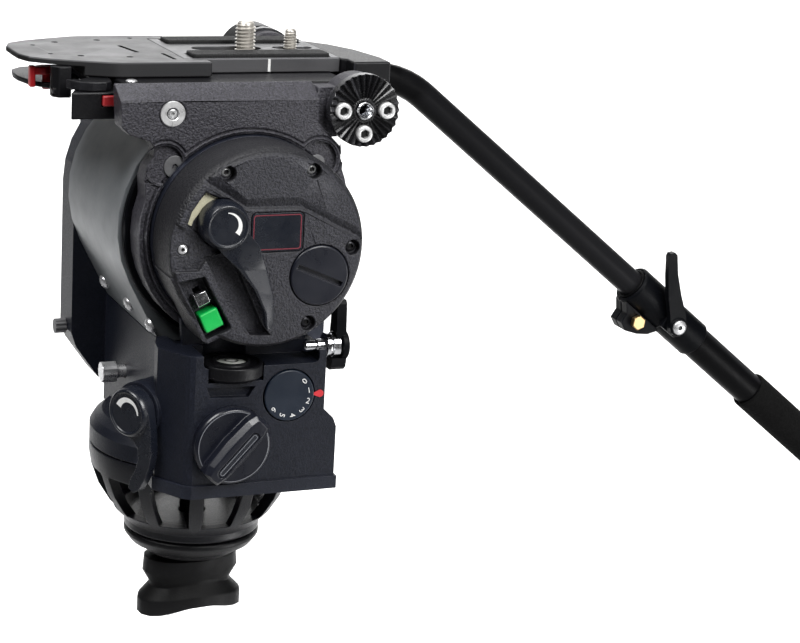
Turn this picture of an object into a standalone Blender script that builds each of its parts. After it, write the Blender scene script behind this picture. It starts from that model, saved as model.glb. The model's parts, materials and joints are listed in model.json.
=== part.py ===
# Fluid video head with a half ball base and a telescopic pan bar.
# All lengths below are millimetres; MM turns them into the metres of the scene.
# Frame: origin at the centre of the half ball, +Z up along the pan axis,
# -X towards the lens end, +X towards the operator, -Y the side with the
# controls, +Y the side that carries the pan bar.
import bpy
import bmesh
import math
from mathutils import Vector, Matrix

MM = 0.001
GAP = 0.3                 # clearance between neighbouring pieces
FACETS = 0.38             # share of the nominal facet count of round pieces

BALL_R = 50.0             # half ball, 100 mm bowl size
TILT_Z = 114.8            # tilt axis above the ball centre
DRUM_R = 53.8             # fixed drum
DRUM_Y0, DRUM_Y1 = -46.3, 37.2
FLANGE_R = 52.2
SHAFT_R = 9.0             # tilt shaft
COVER_R0, COVER_R1 = 44.0, 43.0
COVER_Y0, COVER_Y1 = -66.3, -93.2
CHEEK_Y0, CHEEK_Y1 = -63.0, -50.6
ARM_Y0, ARM_Y1 = 37.5, 58.5
FAR_Y0, FAR_Y1 = 59.0, 65.5
FACE_Y = -85.0            # control face of the pan body
SADDLE_Z0, SADDLE_Z1 = 173.0, 179.6
PLATE_Z1 = 186.5          # top of the camera plate
PLATE_HW = 28.0           # half width of the camera plate
DECK_HW = 38.0            # half width of the front deck
ROS_X, ROS_Z = 51.2, 169.4
ROS_R = 16.2
BAR_Y = 81.0              # plane of the pan bar
BAR_R = 7.4               # inner tube radius
TUBE_R = 9.1              # outer tube radius
BAR_ANG = math.radians(-38.95)
BAR_BEND = (134.3, 155.8) # where the bar turns downwards
WING_A = math.radians(6.4)  # direction of the clamp handle's wings

for ob in list(bpy.data.objects):
    bpy.data.objects.remove(ob, do_unlink=True)

# ---------------------------------------------------------------- materials
def material(name, rgb, rough, metal=0.0):
    m = bpy.data.materials.new(name)
    m.use_nodes = True
    b = m.node_tree.nodes["Principled BSDF"]
    b.inputs["Base Color"].default_value = (rgb[0], rgb[1], rgb[2], 1.0)
    b.inputs["Roughness"].default_value = rough
    b.inputs["Metallic"].default_value = metal
    m.diffuse_color = (rgb[0], rgb[1], rgb[2], 1.0)
    return m


def lin(r, g, b):
    def f(c):
        c = c / 255.0
        return c / 12.92 if c <= 0.04045 else ((c + 0.055) / 1.055) ** 2.4
    return (f(r), f(g), f(b))


M = {
    "cast_charcoal": material("cast_charcoal", lin(52, 50, 54), 0.62, 0.3),
    "cast_black": material("cast_black", lin(30, 30, 36), 0.55, 0.2),
    "drum_grey": material("drum_grey", lin(104, 106, 110), 0.42, 0.5),
    "deck_grey": material("deck_grey", lin(160, 160, 162), 0.38, 0.6),
    "plate_grey": material("plate_grey", lin(78, 78, 80), 0.4, 0.5),
    "plastic_black": material("plastic_black", lin(24, 25, 30), 0.45, 0.0),
    "rubber": material("rubber", lin(30, 30, 30), 0.85, 0.0),
    "foam": material("foam", lin(22, 22, 22), 0.9, 0.0),
    "steel": material("steel", lin(215, 215, 215), 0.25, 1.0),
    "brass": material("brass", lin(190, 160, 100), 0.35, 1.0),
    "red_anodised": material("red_anodised", lin(190, 40, 45), 0.35, 0.6),
    "red_plastic": material("red_plastic", lin(150, 30, 35), 0.45, 0.0),
    "green_plastic": material("green_plastic", lin(0, 165, 65), 0.4, 0.0),
    "dial_navy": material("dial_navy", lin(14, 26, 40), 0.4, 0.0),
    "cream": material("cream", lin(205, 200, 170), 0.35, 0.0),
    "vial": material("vial", lin(190, 215, 150), 0.1, 0.0),
    "bar_black": material("bar_black", lin(26, 26, 28), 0.4, 0.4),
}

# ---------------------------------------------------------------- helpers
def ax_x(a, b, h):
    return (h, a, b)


def ax_y(a, b, h):
    return (a, h, b)


def ax_z(a, b, h):
    return (a, b, h)


def about(origin, u, v, w):
    o, u, v, w = Vector(origin), Vector(u).normalized(), Vector(v).normalized(), Vector(w).normalized()

    def f(a, b, h):
        return tuple(o + u * a + v * b + w * h)
    return f


def shifted(fn, o):
    def f(a, b, h):
        p = fn(a, b, h)
        return (p[0] + o[0], p[1] + o[1], p[2] + o[2])
    return f


def finish(bm, name, mat=None, smooth=True, keep=True):
    bmesh.ops.recalc_face_normals(bm, faces=bm.faces)
    if bm.calc_volume(signed=True) < 0:
        bmesh.ops.reverse_faces(bm, faces=bm.faces)
    me = bpy.data.meshes.new(name)
    bm.to_mesh(me)
    bm.free()
    ob = bpy.data.objects.new(name, me)
    bpy.context.scene.collection.objects.link(ob)
    if mat:
        me.materials.append(M[mat])
    if smooth:
        shade(ob)
    return ob


def shade(ob, deg=32):
    me = ob.data
    for p in me.polygons:
        p.use_smooth = True
    me.set_sharp_from_angle(angle=math.radians(deg))


def bevel_bm(bm, width, seg=1, deg=25.0, test=None):
    if width <= 0:
        return
    es = []
    for e in bm.edges:
        if len(e.link_faces) == 2 and e.calc_face_angle(0.0) > math.radians(deg):
            if test is None or test(e):
                es.append(e)
    if es:
        bmesh.ops.bevel(bm, geom=es, offset=width * MM, segments=seg, affect='EDGES',
                        profile=0.5, clamp_overlap=True)


def prism(name, pts, fn, h0, h1, mat=None, bev=0.0, seg=1, deg=25.0, test=None, keep_bm=False):
    bm = bmesh.new()
    lo = [bm.verts.new(Vector(fn(a, b, h0)) * MM) for a, b in pts]
    hi = [bm.verts.new(Vector(fn(a, b, h1)) * MM) for a, b in pts]
    n = len(pts)
    bm.faces.new(lo)
    bm.faces.new(hi)
    for i in range(n):
        j = (i + 1) % n
        bm.faces.new([lo[i], lo[j], hi[j], hi[i]])
    bmesh.ops.recalc_face_normals(bm, faces=bm.faces)
    bevel_bm(bm, bev, seg, deg, test)
    return finish(bm, name, mat)


def box(name, x0, x1, y0, y1, z0, z1, mat=None, bev=0.0, seg=1):
    return prism(name, [(x0, y0), (x1, y0), (x1, y1), (x0, y1)], ax_z, z0, z1, mat, bev, seg)


def lathe(name, prof, fn, mat=None, seg=64, phase=0.0):
    seg = max(10, 2 * int(round(seg * FACETS / 2)))
    bm = bmesh.new()
    rings = []
    for r, h in prof:
        if r < 1e-6:
            rings.append([bm.verts.new(Vector(fn(0, 0, h)) * MM)])
        else:
            rings.append([bm.verts.new(Vector(fn(r * math.cos(2 * math.pi * k / seg + phase),
                                                 r * math.sin(2 * math.pi * k / seg + phase), h)) * MM)
                          for k in range(seg)])
    n = len(prof)
    for i in range(n):
        A, B = rings[i], rings[(i + 1) % n]
        if len(A) == 1 and len(B) == 1:
            continue
        for k in range(seg):
            l = (k + 1) % seg
            if len(A) == 1:
                bm.faces.new([A[0], B[k], B[l]])
            elif len(B) == 1:
                bm.faces.new([A[k], B[0], A[l]])
            else:
                bm.faces.new([A[k], B[k], B[l], A[l]])
    return finish(bm, name, mat)


def cyl(name, fn, r, h0, h1, mat=None, seg=48, ch=0.0, bore=0.0):
    lo, hi = min(h0, h1), max(h0, h1)
    if ch > 0:
        prof = [(r - ch, lo), (r, lo + ch), (r, hi - ch), (r - ch, hi)]
    else:
        prof = [(r, lo), (r, hi)]
    if bore > 0:
        prof = [(bore, lo)] + prof + [(bore, hi)]
    else:
        prof = [(0, lo)] + prof + [(0, hi)]
    return lathe(name, prof, fn, mat, seg)


def combine(ob, others, op):
    for o in others:
        m = ob.modifiers.new("b", 'BOOLEAN')
        m.operation = op
        m.solver = 'EXACT'
        m.object = o
        dg = bpy.context.evaluated_depsgraph_get()
        me = bpy.data.meshes.new_from_object(ob.evaluated_get(dg))
        ob.modifiers.remove(m)
        old = ob.data
        mats = [s for s in old.materials]
        ob.data = me
        bpy.data.meshes.remove(old)
        me.materials.clear()
        for s in mats[:1]:
            me.materials.append(s)
        for p in me.polygons:
            p.material_index = 0
        bpy.data.objects.remove(o, do_unlink=True)
    bm = bmesh.new()
    bm.from_mesh(ob.data)
    bmesh.ops.remove_doubles(bm, verts=bm.verts, dist=0.00002)
    bmesh.ops.dissolve_limit(bm, angle_limit=math.radians(0.5), verts=bm.verts, edges=bm.edges)
    bmesh.ops.triangulate(bm, faces=[f for f in bm.faces if len(f.verts) > 4])
    bm.to_mesh(ob.data)
    bm.free()
    shade(ob)
    return ob


def cut(ob, *others):
    return combine(ob, others, 'DIFFERENCE')


def fuse(ob, *others):
    return combine(ob, others, 'UNION')


def pivot(ob, p):
    v = Vector(p) * MM
    ob.data.transform(Matrix.Translation(-v))
    ob.location = v
    return ob


def arc(cx, cy, r, a0, a1, n):
    return [(cx + r * math.cos(math.radians(a0 + (a1 - a0) * i / n)),
             cy + r * math.sin(math.radians(a0 + (a1 - a0) * i / n))) for i in range(n + 1)]


def rrect(x0, x1, y0, y1, r, n=2):
    return (arc(x1 - r, y1 - r, r, 0, 90, n) + arc(x0 + r, y1 - r, r, 90, 180, n)
            + arc(x0 + r, y0 + r, r, 180, 270, n) + arc(x1 - r, y0 + r, r, 270, 360, n))


def socket_screw(name, fn, r_head, h_head, r_shank, l_shank, hexr, mat="steel", button=False, slot=False):
    # head above h=0, shank below
    if button:
        prof = [(0, h_head)] + [(r_head * math.sin(math.radians(t)), h_head * math.cos(math.radians(t)))
                                for t in (20, 40, 60, 78)] + [(r_head, 0.0)]
    else:
        prof = [(0, h_head), (r_head - 0.4, h_head), (r_head, h_head - 0.4), (r_head, 0)]
    prof += [(r_shank, 0), (r_shank, -l_shank + 0.4), (r_shank - 0.4, -l_shank), (0, -l_shank)]
    ob = lathe(name, prof, fn, mat, 28)
    if slot:
        c = prism("c", [(-hexr, -0.7), (hexr, -0.7), (hexr, 0.7), (-hexr, 0.7)], fn, h_head - 1.4, h_head + 1)
    else:
        c = prism("c", [(hexr * math.cos(math.radians(60 * k + 30)), hexr * math.sin(math.radians(60 * k + 30)))
                        for k in range(6)], fn, h_head - 1.8, h_head + 1)
    return cut(ob, c)


def T(x, z, y=0.0):
    """frame along -Y with its origin on the tilt axis plane: h grows towards the viewer side (-Y)."""
    return about((x, y, z), (1, 0, 0), (0, 0, 1), (0, -1, 0))


def F(x, z, y=0.0):
    """frame along +Y."""
    return about((x, y, z), (1, 0, 0), (0, 0, 1), (0, 1, 0))


def Zf(x, y, z=0.0):
    return about((x, y, z), (1, 0, 0), (0, 1, 0), (0, 0, 1))


def Xf(y, z, x=0.0):
    return about((x, y, z), (0, 1, 0), (0, 0, 1), (1, 0, 0))


# ================================================================= half ball
def sphere_r(z):
    return math.sqrt(BALL_R ** 2 - z ** 2)


def half_ball():
    outer = [(sphere_r(z), z) for z in (-38.0, -31, -22, -12, -5)]
    prof = [(6.4, -42.4), (31.4, -42.4), (32.3, -41.6), (32.3, -38.6)] + outer
    prof += [(49.6, -0.7), (9.4, -0.7), (9.4, -7.0)]
    prof += [(40.0, -7.0), (42.5, -9.0)]
    prof += [(sphere_r(z) - 6.0, z) for z in (-16, -26)]
    prof += [(31.0, -33.5), (29.0, -36.0), (6.4, -36.0)]
    ob = lathe("half_ball", prof, ax_z, "cast_black", 96)
    cutters = []
    n = 12
    for k in range(n):
        a = math.radians(-90.6 + 30 * k)
        u = (math.cos(a), math.sin(a), 0)
        v = (-math.sin(a), math.cos(a), 0)
        # window between two ribs, tapering towards the bottom
        w = about((0, 0, 0), v, (0, 0, 1), u)
        pts = [(-7.0, -32.5), (7.0, -32.5), (9.4, -12.5), (8.4, -11.2), (-8.4, -11.2), (-9.4, -12.5)]
        cutters.append(prism("w", pts, w, 25, 56))
    return cut(ob, *cutters)


half_ball()
lathe("pan_spindle", [(0, -16), (9.0, -16), (9.0, 14.0), (13.0, 14.0), (13.0, 17.0), (9.0, 17.0), (9.0, 46), (8, 47), (0, 47)],
      ax_z, "steel", 40)
lathe("clamp_stud", [(0, -16.4), (6.0, -16.4), (6.0, -76.0), (5, -77.0), (0, -77.0)], ax_z, "steel", 32)

# ================================================================= bowl clamp
lathe("clamp_disc", [(6.4, -43.0), (31.6, -43.0), (32.3, -43.8), (32.3, -45.4), (29.5, -49.2), (24.5, -52.2),
                     (21.6, -53.6), (21.6, -54.6), (6.4, -54.6)], ax_z, "cast_black", 72)


def clamp_handle():
    bm = bmesh.new()
    seg = 32
    # radius and height at the waist of the two-winged outline, then at its tips
    prof = [(6.4, 6.4, -54.9, -54.9), (12.0, 13.0, -54.9, -54.9), (14.6, 23.4, -58.0, -57.6), (14.6, 24.0, -64.6, -64.6),
            (13.2, 20.6, -68.0, -70.6), (13.2, 20.6, -70.4, -72.4), (15.4, 25.4, -75.6, -77.4), (15.6, 26.2, -76.6, -79.0),
            (15.6, 26.2, -81.0, -85.6), (14.4, 24.8, -81.6, -86.4), (11.0, 11.0, -81.8, -81.8), (0, 0, -81.8, -81.8), (0, 0, -78.0, -78.0), (6.4, 6.4, -78.0, -78.0)]
    rings = []
    for rc, rt, zc, zt in prof:
        if rt < 1e-6:
            rings.append([bm.verts.new(Vector((0, 0, zc)) * MM)])
            continue
        row = []
        for k in range(seg):
            t = 2 * math.pi * k / seg
            w = (0.5 + 0.5 * math.cos(2 * (t - WING_A))) ** 1.5
            rr, z = rc + (rt - rc) * w, zc + (zt - zc) * w
            row.append(bm.verts.new(Vector((rr * math.cos(t), rr * math.sin(t), z)) * MM))
        rings.append(row)
    for i in range(len(rings)):
        A, B = rings[i], rings[(i + 1) % len(rings)]
        if len(A) == 1 and len(B) == 1:
            continue
        for k in range(seg):
            l = (k + 1) % seg
            if len(A) == 1:
                bm.faces.new([A[0], B[k], B[l]])
            elif len(B) == 1:
                bm.faces.new([A[k], B[0], A[l]])
            else:
                bm.faces.new([A[k], B[k], B[l], A[l]])
    return finish(bm, "clamp_handle", "plastic_black")


clamp_handle()

# ================================================================= pan body
def housing_outline(off=0.0):
    r = DRUM_R + off
    t0 = 207.5                               # tangent angle of the front sheet
    pts = arc(0, TILT_Z, r, t0, 360 + 180 - t0 - 360, 20)
    # the tangents run down to the foot of the housing
    zf = 62.5 - off
    def tangent_x(sgn):
        a = math.radians(t0)
        px, pz = r * math.cos(a), TILT_Z + r * math.sin(a)
        dx, dz = -math.sin(a), math.cos(a)     # direction of the tangent, dz<0 wanted
        if dz > 0:
            dx, dz = -dx, -dz
        s = (zf - pz) / dz
        return -(px + dx * s) if sgn > 0 else (px + dx * s)
    xr = tangent_x(1)
    xl = tangent_x(-1)
    xc = math.sqrt(r * r - (TILT_Z - zf) ** 2)
    ac = math.degrees(math.atan2(-(TILT_Z - zf), xc))
    low = arc(0, TILT_Z, r, ac, -180 - ac, 7)
    return pts + [(xr, zf)] + low + [(xl, zf)]


FACET = math.radians(30.0)
FN = Vector((-math.cos(FACET), -math.sin(FACET), 0))       # outward normal of the front left facet
FT = Vector((-math.sin(FACET), math.cos(FACET), 0))        # runs along the facet, away from the corner
CORNER = Vector((-31.0, FACE_Y, 0))
HUB = Vector((-44.0, -59.0, 36.0))
# the hub centre projected onto the facet plane
HUB = HUB - FN * ((HUB - CORNER).dot(FN))
DIAL = (15.0, 46.0)
KNOB = (-11.5, 25.5)
GEAR_D = math.hypot(DIAL[0] - KNOB[0], DIAL[1] - KNOB[1])
T_KNOB, T_DIAL = 26, 14
MODULE = 2 * GEAR_D / (T_KNOB + T_DIAL)


def pan_base():
    # round skirt that sits on the half ball
    ob = lathe("pan_base", [(9.4, 0.0), (49.2, 0.0), (49.6, 0.4), (49.6, 8.0), (47.5, 11.5), (44.0, 14.5), (30, 15), (9.4, 15)],
               ax_z, "cast_charcoal", 96)
    # control block: plan outline with the front left facet
    b = CORNER + FT * 19.4
    pts = [(32.0, FACE_Y), (CORNER.x + 2.5, FACE_Y), (CORNER.x + 0.3, FACE_Y + 1.0), (CORNER.x - 1.2, FACE_Y + 2.6), (b.x, b.y), (-39.6, -60.0), (-35.0, -48.0), (-34.0, -30.0), (32.0, -30.0)]
    blk = prism("blk", pts, ax_z, 1.2, 66.2, None)
    # wider foot at the rear side of the block
    foot = prism("foot", [(20, 1.2), (37.6, 1.2), (38.2, 6.0), (38.2, 30.0), (36.6, 34.0), (32.0, 38.5), (20, 42)],
                 ax_y, FACE_Y, -30.0, None)
    # base flange lip around the bottom of the block
    lip = prism("lip", [(39.2, FACE_Y - 1.0), (CORNER.x + 1.9, FACE_Y - 1.0), (CORNER.x - 2.0, FACE_Y + 2.0), (b.x - 1, b.y - 0.2), (-40.5, -52), (-36, -30), (39.2, -30)],
                ax_z, 1.0, 7.0, None)
    neck = prism("neck", [(-34, 10), (34, 10), (34, 70.5), (-34, 70.5)], ax_y, -48.0, 38.5, None)
    # carrier disc behind the side cover, and the pier under it
    disc = cyl("disc", T(0, TILT_Z), COVER_R0, 60.8, 66.0, None, 72)
    pier = prism("pier", [(-28, 58), (28, 58), (30, 78), (-30, 78)], ax_y, -66.0, -63.4, None)
    ob = fuse(ob, blk, foot, lip, neck, disc, pier)
    # far arm
    arm = prism("arm", [(-50.8, 44.0), (-48.4, 37.0), (-45.2, 32.4), (-37.3, 21.4), (-32.4, 18.8), (-25.0, 17.6), (-25.0, 9.0), (25.0, 9.0), (25.0, 17.6), (32.4, 18.8), (37.3, 21.4), (45.2, 32.4), (48.4, 37.0), (50.8, 44.0)]
                + arc(0, TILT_Z, 50.8, 0, 180, 16), ax_y, ARM_Y0, ARM_Y1, None)
    under = prism("under", [(-24, 0.5), (24, 0.5), (24, 12), (-24, 12)], ax_y, 36.0, 54.0, None)
    ob = fuse(ob, arm, under)
    # trough of the drum housing, then the room in which the near cheek swings
    hc = prism("hc", housing_outline(GAP), ax_y, -50.5, ARM_Y0 - 0.02)
    sweep = lathe("sw", [(0, 50.25), (57.8, 50.25), (57.8, 63.35), (COVER_R0, 63.35), (COVER_R0, 60.8), (0, 60.8)], T(0, TILT_Z), None, 96)
    cover = cyl("cv", T(0, TILT_Z), COVER_R0 + 0.35, 66.0, 96.0, None, 72)
    ob = cut(ob, hc, sweep, cover)
    # bubble pocket under the side cover
    pocket = prism("pk", rrect(-25.0, 28.6, 60.4, 74.0, 2.0), ax_y, FACE_Y - 3, -67.5)
    cupb = cyl("cb", Zf(-10.0, -78.0), 14.5, 53.7, 75.0)
    slot = prism("sl", [(-23.1, 51.6), (-21.4, 47.0), (-4.0, 46.4), (-0.9, 51.2)], ax_y, FACE_Y - 3, FACE_Y + 3.0)
    # bores: dial, knob, gears behind them
    rd, rk = MODULE * T_DIAL / 2 + 1.55, MODULE * T_KNOB / 2 + 1.55
    dial = lathe("db", [(0, 67.2), (rd, 67.2), (rd, 71.4), (3.4, 71.4), (3.4, 82.5), (12.2, 82.5), (12.2, 90.0), (0, 90.0)], T(DIAL[0], DIAL[1]), None, 48)
    knob = lathe("kb", [(0, 67.13), (rk, 67.13), (rk, 71.47), (4.4, 71.47), (4.4, 92.0), (0, 92.0)], T(KNOB[0], KNOB[1]), None, 56, 0.03)
    # bore of the tilt shaft in the far arm and through the carrier disc
    sb = cyl("sb", F(0, TILT_Z), SHAFT_R + 0.4, -72.0, 62.0, None, 40)
    # spindle bore and pan drag chamber, open at the bottom
    sp = lathe("sp", [(0, -2.0), (9.4, -2.0), (9.4, 13.6), (30.4, 13.6), (30.4, 40.6), (13.4, 40.6), (13.4, 47.4), (0, 47.4)], ax_z, None, 56)
    ob = cut(ob, pocket, cupb, slot, dial, knob, sb, sp)
    # pan lock boss on the facet and its bore
    hub = about(HUB, tuple(FT), (0, 0, 1), tuple(FN))
    boss = cyl("boss", hub, 12.6, -20.0, 1.6, None, 40)
    hb = cyl("hb", hub, 4.6, -16.0, 4.0, None, 32)
    ob = fuse(ob, boss)
    # cross bores of the rear lever shaft, the front stud and the arm screw
    rl = cyl("rl", Xf(-80.0, 66.6), 3.6, 26.0, 40.0, None, 24)
    fs = cyl("fs", Xf(4.0, 34.0), 3.4, -46.0, -31.4, None, 24)
    ak = cyl("ak", Xf(48.0, 45.0), 2.4, -60.0, -40.0, None, 24)
    ob = cut(ob, hb, rl, fs, ak)
    return ob


pan_base()


def drum_housing():
    ob = prism("drum_housing", housing_outline(), ax_y, DRUM_Y0, DRUM_Y1, "drum_grey")
    inner = cyl("in", F(0, TILT_Z), 47.5, DRUM_Y0 - 1, 30.5, None, 64)
    sb = cyl("sb", F(0, TILT_Z), 18.3, 25.0, 45.0, None, 48)
    return cut(ob, inner, sb)


drum_housing()
lathe("drum_flange", [(18.3, 46.6), (FLANGE_R - 0.6, 46.6), (FLANGE_R, 47.2), (FLANGE_R, 49.6), (FLANGE_R - 0.6, 50.2), (18.3, 50.2)],
      T(0, TILT_Z), "plastic_black", 96)


# ================================================================= side cover
def loft(name, loops, mat=None):
    """closed body through loops of equal length, each a list of (x, y, z) in millimetres."""
    bm = bmesh.new()
    rows = [[bm.verts.new(Vector(p) * MM) for p in lp] for lp in loops]
    n = len(rows[0])
    bm.faces.new(rows[0])
    bm.faces.new(rows[-1])
    for a, b in zip(rows[:-1], rows[1:]):
        for i in range(n):
            j = (i + 1) % n
            bm.faces.new([a[i], a[j], b[j], b[i]])
    return finish(bm, name, mat)


COV = T(0, TILT_Z)
CELL = (23.4, -12.4)
TLOCK = (-21.7, 12.4)
SW_A = math.radians(-65.15)                     # run of the light switch slot
SW = about((-26.5, 0.0, TILT_Z - 25.95), (math.cos(SW_A), 0, math.sin(SW_A)),
           (-math.sin(SW_A), 0, math.cos(SW_A)), (0, -1, 0))


def side_cover():
    ob = lathe("side_cover", [(0, 66.3), (43.4, 66.3), (COVER_R0, 66.9), (COVER_R0, 88.6), (43.6, 91.0), (42.2, 92.7), (40.6, 93.2), (0, 93.2)],
               COV, "cast_charcoal", 96)
    # raised segment above the ridge line
    low = [(-26.9, 28.8), (-11.4, 18.8), (13.9, 18.4), (42.6, 3.1)]
    up = [(-25.6, 33.1), (-11.4, 22.8), (12.0, 22.9), (40.3, 8.4)]
    lo = low + arc(0, 0, 42.7, 6.0, 131.0, 12)
    hi = up + arc(0, 0, 41.2, 13.0, 126.5, 12)
    seg = loft("seg", [[COV(a, b, 92.0) for a, b in lo], [COV(a, b, 93.1) for a, b in lo], [COV(a, b, 94.4) for a, b in hi]])
    # raised frame of the light switch
    boss = prism("sb", [(-16.5, 6.2), (-20.0, -9.0), (-3.2, -7.9), (12.4, -7.1), (14.2, -5.6), (14.2, 6.6), (12.6, 8.0)], SW, 66.9, 91.0)
    ob = fuse(ob, seg, boss)
    cell = lathe("c", [(0, 75.6), (12.6, 75.6), (12.6, 81.0), (13.7, 81.0), (13.7, 96.0), (0, 96.0)], shifted(COV, (CELL[0], 0, CELL[1])), None, 56)
    hubr = lathe("c", [(0, 79.6), (4.4, 79.6), (4.4, 90.6), (10.9, 90.6), (10.9, 96.0), (0, 96.0)], shifted(COV, (TLOCK[0], 0, TLOCK[1])), None, 48)
    step = prism("c", [(-48, 15), (-37.6, 10.4), (-29.2, 20.8), (-24.0, 12.3), (-21.0, 0.2), (-28.1, -3.4), (-31.3, -8.3), (-48, -8.3)], COV, 90.8, 96.5)
    label = prism("c", rrect(-8.7, 15.3, -1.3, 16.3, 1.8), COV, 91.9, 96.0)
    finger = prism("c", [(-28.7, -2.6), (-21.2, -1.2), (-15.2, -5), (-1.8, -33.5), (2.0, -38.2), (-7.1, -37.7), (-19.1, -21.5)], COV, 88.6, 97.0, None, 0.0)
    pocket = prism("c", [(-14.6, 4.4), (-17.6, -6.8), (-2.7, -5.9), (12.2, -5.2), (12.2, 5.6), (10.9, 6.2)], SW, 86.0, 96.0)
    sslot = prism("c", [(-9.6, -1.4), (-1.6, -1.4), (-1.6, 1.4), (-9.6, 1.4)], SW, 80.5, 87.0)
    bbore = prism("c", [(0.6, -4.6), (9.9, -4.6), (9.9, 4.6), (0.6, 4.6)], SW, 82.2, 87.0)
    shaft = cyl("c", COV, SHAFT_R + 0.4, 60.0, 70.3, None, 40)
    cuts = [cell, hubr, step, label, finger, pocket, sslot, bbore, shaft]
    for a, b, r in ((-19.9, 33.8, 3.3), (18.7, 34.0, 3.3), (38.4, -0.6, 3.3), (19.3, -33.8, 3.3), (-38.0, 0.9, 2.4)):
        cuts.append(cyl("c", shifted(COV, (a, 0, b)), r, 89.6, 96.0, None, 24))
    return cut(ob, *cuts)


side_cover()
prism("label_plate", rrect(-8.4, 15.0, -1.0, 16.0, 1.5), COV, 92.2, 93.0, "dial_navy", 0.15)
cyl("button_cell", shifted(COV, (CELL[0], 0, CELL[1])), 12.25, 75.9, 80.7, "steel", 48, 0.4)


def battery_cap():
    f = shifted(COV, (CELL[0], 0, CELL[1]))
    ob = lathe("battery_cap", [(0, 81.3), (13.4, 81.3), (13.4, 93.3), (12.9, 93.9), (0, 93.9)], f, "plastic_black", 64)
    a = math.atan2(-16.9 + 8, 33.8 - 13)
    g = about(f(0, 0, 0), (math.cos(a), 0, math.sin(a)), (-math.sin(a), 0, math.cos(a)), (0, -1, 0))
    s = prism("s", [(-11.2, -1.1), (11.2, -1.1), (11.2, 1.1), (-11.2, 1.1)], g, 91.9, 96.0)
    return pivot(cut(ob, s), (CELL[0], -87.0, TILT_Z + CELL[1]))


battery_cap()


def tilt_lock_lever():
    f = shifted(COV, (TLOCK[0], 0, TLOCK[1]))
    hub = lathe("tilt_lock_lever", [(0, 80.2), (4.1, 80.2), (4.1, 90.9), (10.5, 90.9), (10.5, 97.2), (9.9, 99.6), (9.3, 101.2), (8.6, 101.5), (8.2, 100.9), (0, 100.9)],
                f, "plastic_black", 56)
    right = [(-11.9, 9.3), (-6.6, 3.3), (-2.2, -7.8), (1.3, -19.7), (2.1, -27.5), (1.9, -32.2)]
    left = [(-28.0, 6.6), (-23.0, 0.4), (-15.1, -7.2), (-8.1, -15.9), (-3.1, -25.9), (-2.2, -31.8)]
    out = [(-19.0, 16.0)] + [(-12.2, 14.0)] + right + [(0.3, -34.2), (-1.6, -33.8)] + left[::-1] + [(-29.6, 12.0), (-27.0, 17.0)]
    blade = prism("bl", out, COV, 94.8, 98.9)
    return pivot(fuse(hub, blade), (TLOCK[0], -95.0, TILT_Z + TLOCK[1]))


tilt_lock_lever()
pivot(prism("green_button", [(0.9, -4.3), (9.6, -4.3), (9.6, 4.3), (0.9, 4.3)], SW, 83.6, 91.6, "green_plastic", 0.5, 1), SW(5.25, 0, 90.0))


def light_slider():
    a = prism("light_slider", [(-8.4, -3.1), (-2.2, -3.1), (-2.2, 3.1), (-8.4, 3.1)], SW, 86.4, 90.9, "steel", 0.6, 2)
    b = prism("b", [(-6.6, -1.1), (-4.0, -1.1), (-4.0, 1.1), (-6.6, 1.1)], SW, 81.4, 87.0)
    return pivot(fuse(a, b), SW(-5.3, 0, 88.0))


light_slider()

# ================================================================= bubble level
lathe("bubble_cup", [(0, 54.0), (11.5, 54.0), (14.0, 56.0), (14.0, 61.0), (13.6, 61.4), (12.2, 61.4), (11.8, 60.6), (8.6, 60.6), (8.2, 61.4), (7.4, 61.4), (7.3, 56.4), (0, 56.4)],
      Zf(-10.0, -78.0), "cast_black", 56)
lathe("bubble_vial", [(0, 56.7), (7.0, 56.7), (7.0, 60.6), (5.6, 61.1), (3.0, 61.5), (0, 61.6)], Zf(-10.0, -78.0), "vial", 40)

# ================================================================= pan drag control
def gear_profile(teeth, rp, rot):
    add, ded = 0.7 * MODULE, 0.9 * MODULE
    pts = []
    for k in range(teeth):
        c = rot + 2 * math.pi * k / teeth
        w = 2 * math.pi / teeth
        for fr, r in ((-0.27, rp - ded), (-0.08, rp + add), (0.08, rp + add), (0.27, rp - ded)):
            pts.append((r * math.cos(c + fr * w), r * math.sin(c + fr * w)))
    return pts


MESH_A = math.atan2(DIAL[1] - KNOB[1], DIAL[0] - KNOB[0])


def pan_fluid_knob():
    f = T(KNOB[0], KNOB[1])
    gear = prism("pan_fluid_knob", gear_profile(T_KNOB, MODULE * T_KNOB / 2, MESH_A), f, 67.5, 71.0, "plastic_black")
    stem = cyl("st", f, 4.1, 70.0, 86.0, None, 24)
    base = lathe("ba", [(0, 85.4), (17.5, 85.4), (17.5, 88.6), (16.6, 89.8), (0, 89.8)], f, None, 64)
    # bar grip across the knob
    a = math.atan2(35.0 - 9.0, 7.0 + 17.0)
    g = about(f(0, 0, 0), (math.cos(a), 0, math.sin(a)), (-math.sin(a), 0, math.cos(a)), (0, -1, 0))
    side = [(-17.3, -4.2), (-13, -5.6), (0, -6.4), (13, -5.6), (17.3, -4.2), (17.6, 0), (17.3, 4.2), (13, 5.6), (0, 6.4), (-13, 5.6), (-17.3, 4.2), (-17.6, 0)]
    top = [(x * 0.93, y * 0.62) for x, y in side]
    grip = loft("gr", [[g(x, y, 88.0) for x, y in side], [g(x, y, 94.5) for x, y in side], [g(x, y, 97.2) for x, y in top]])
    return pivot(fuse(gear, stem, base, grip), (KNOB[0], FACE_Y, KNOB[1]))


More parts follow.
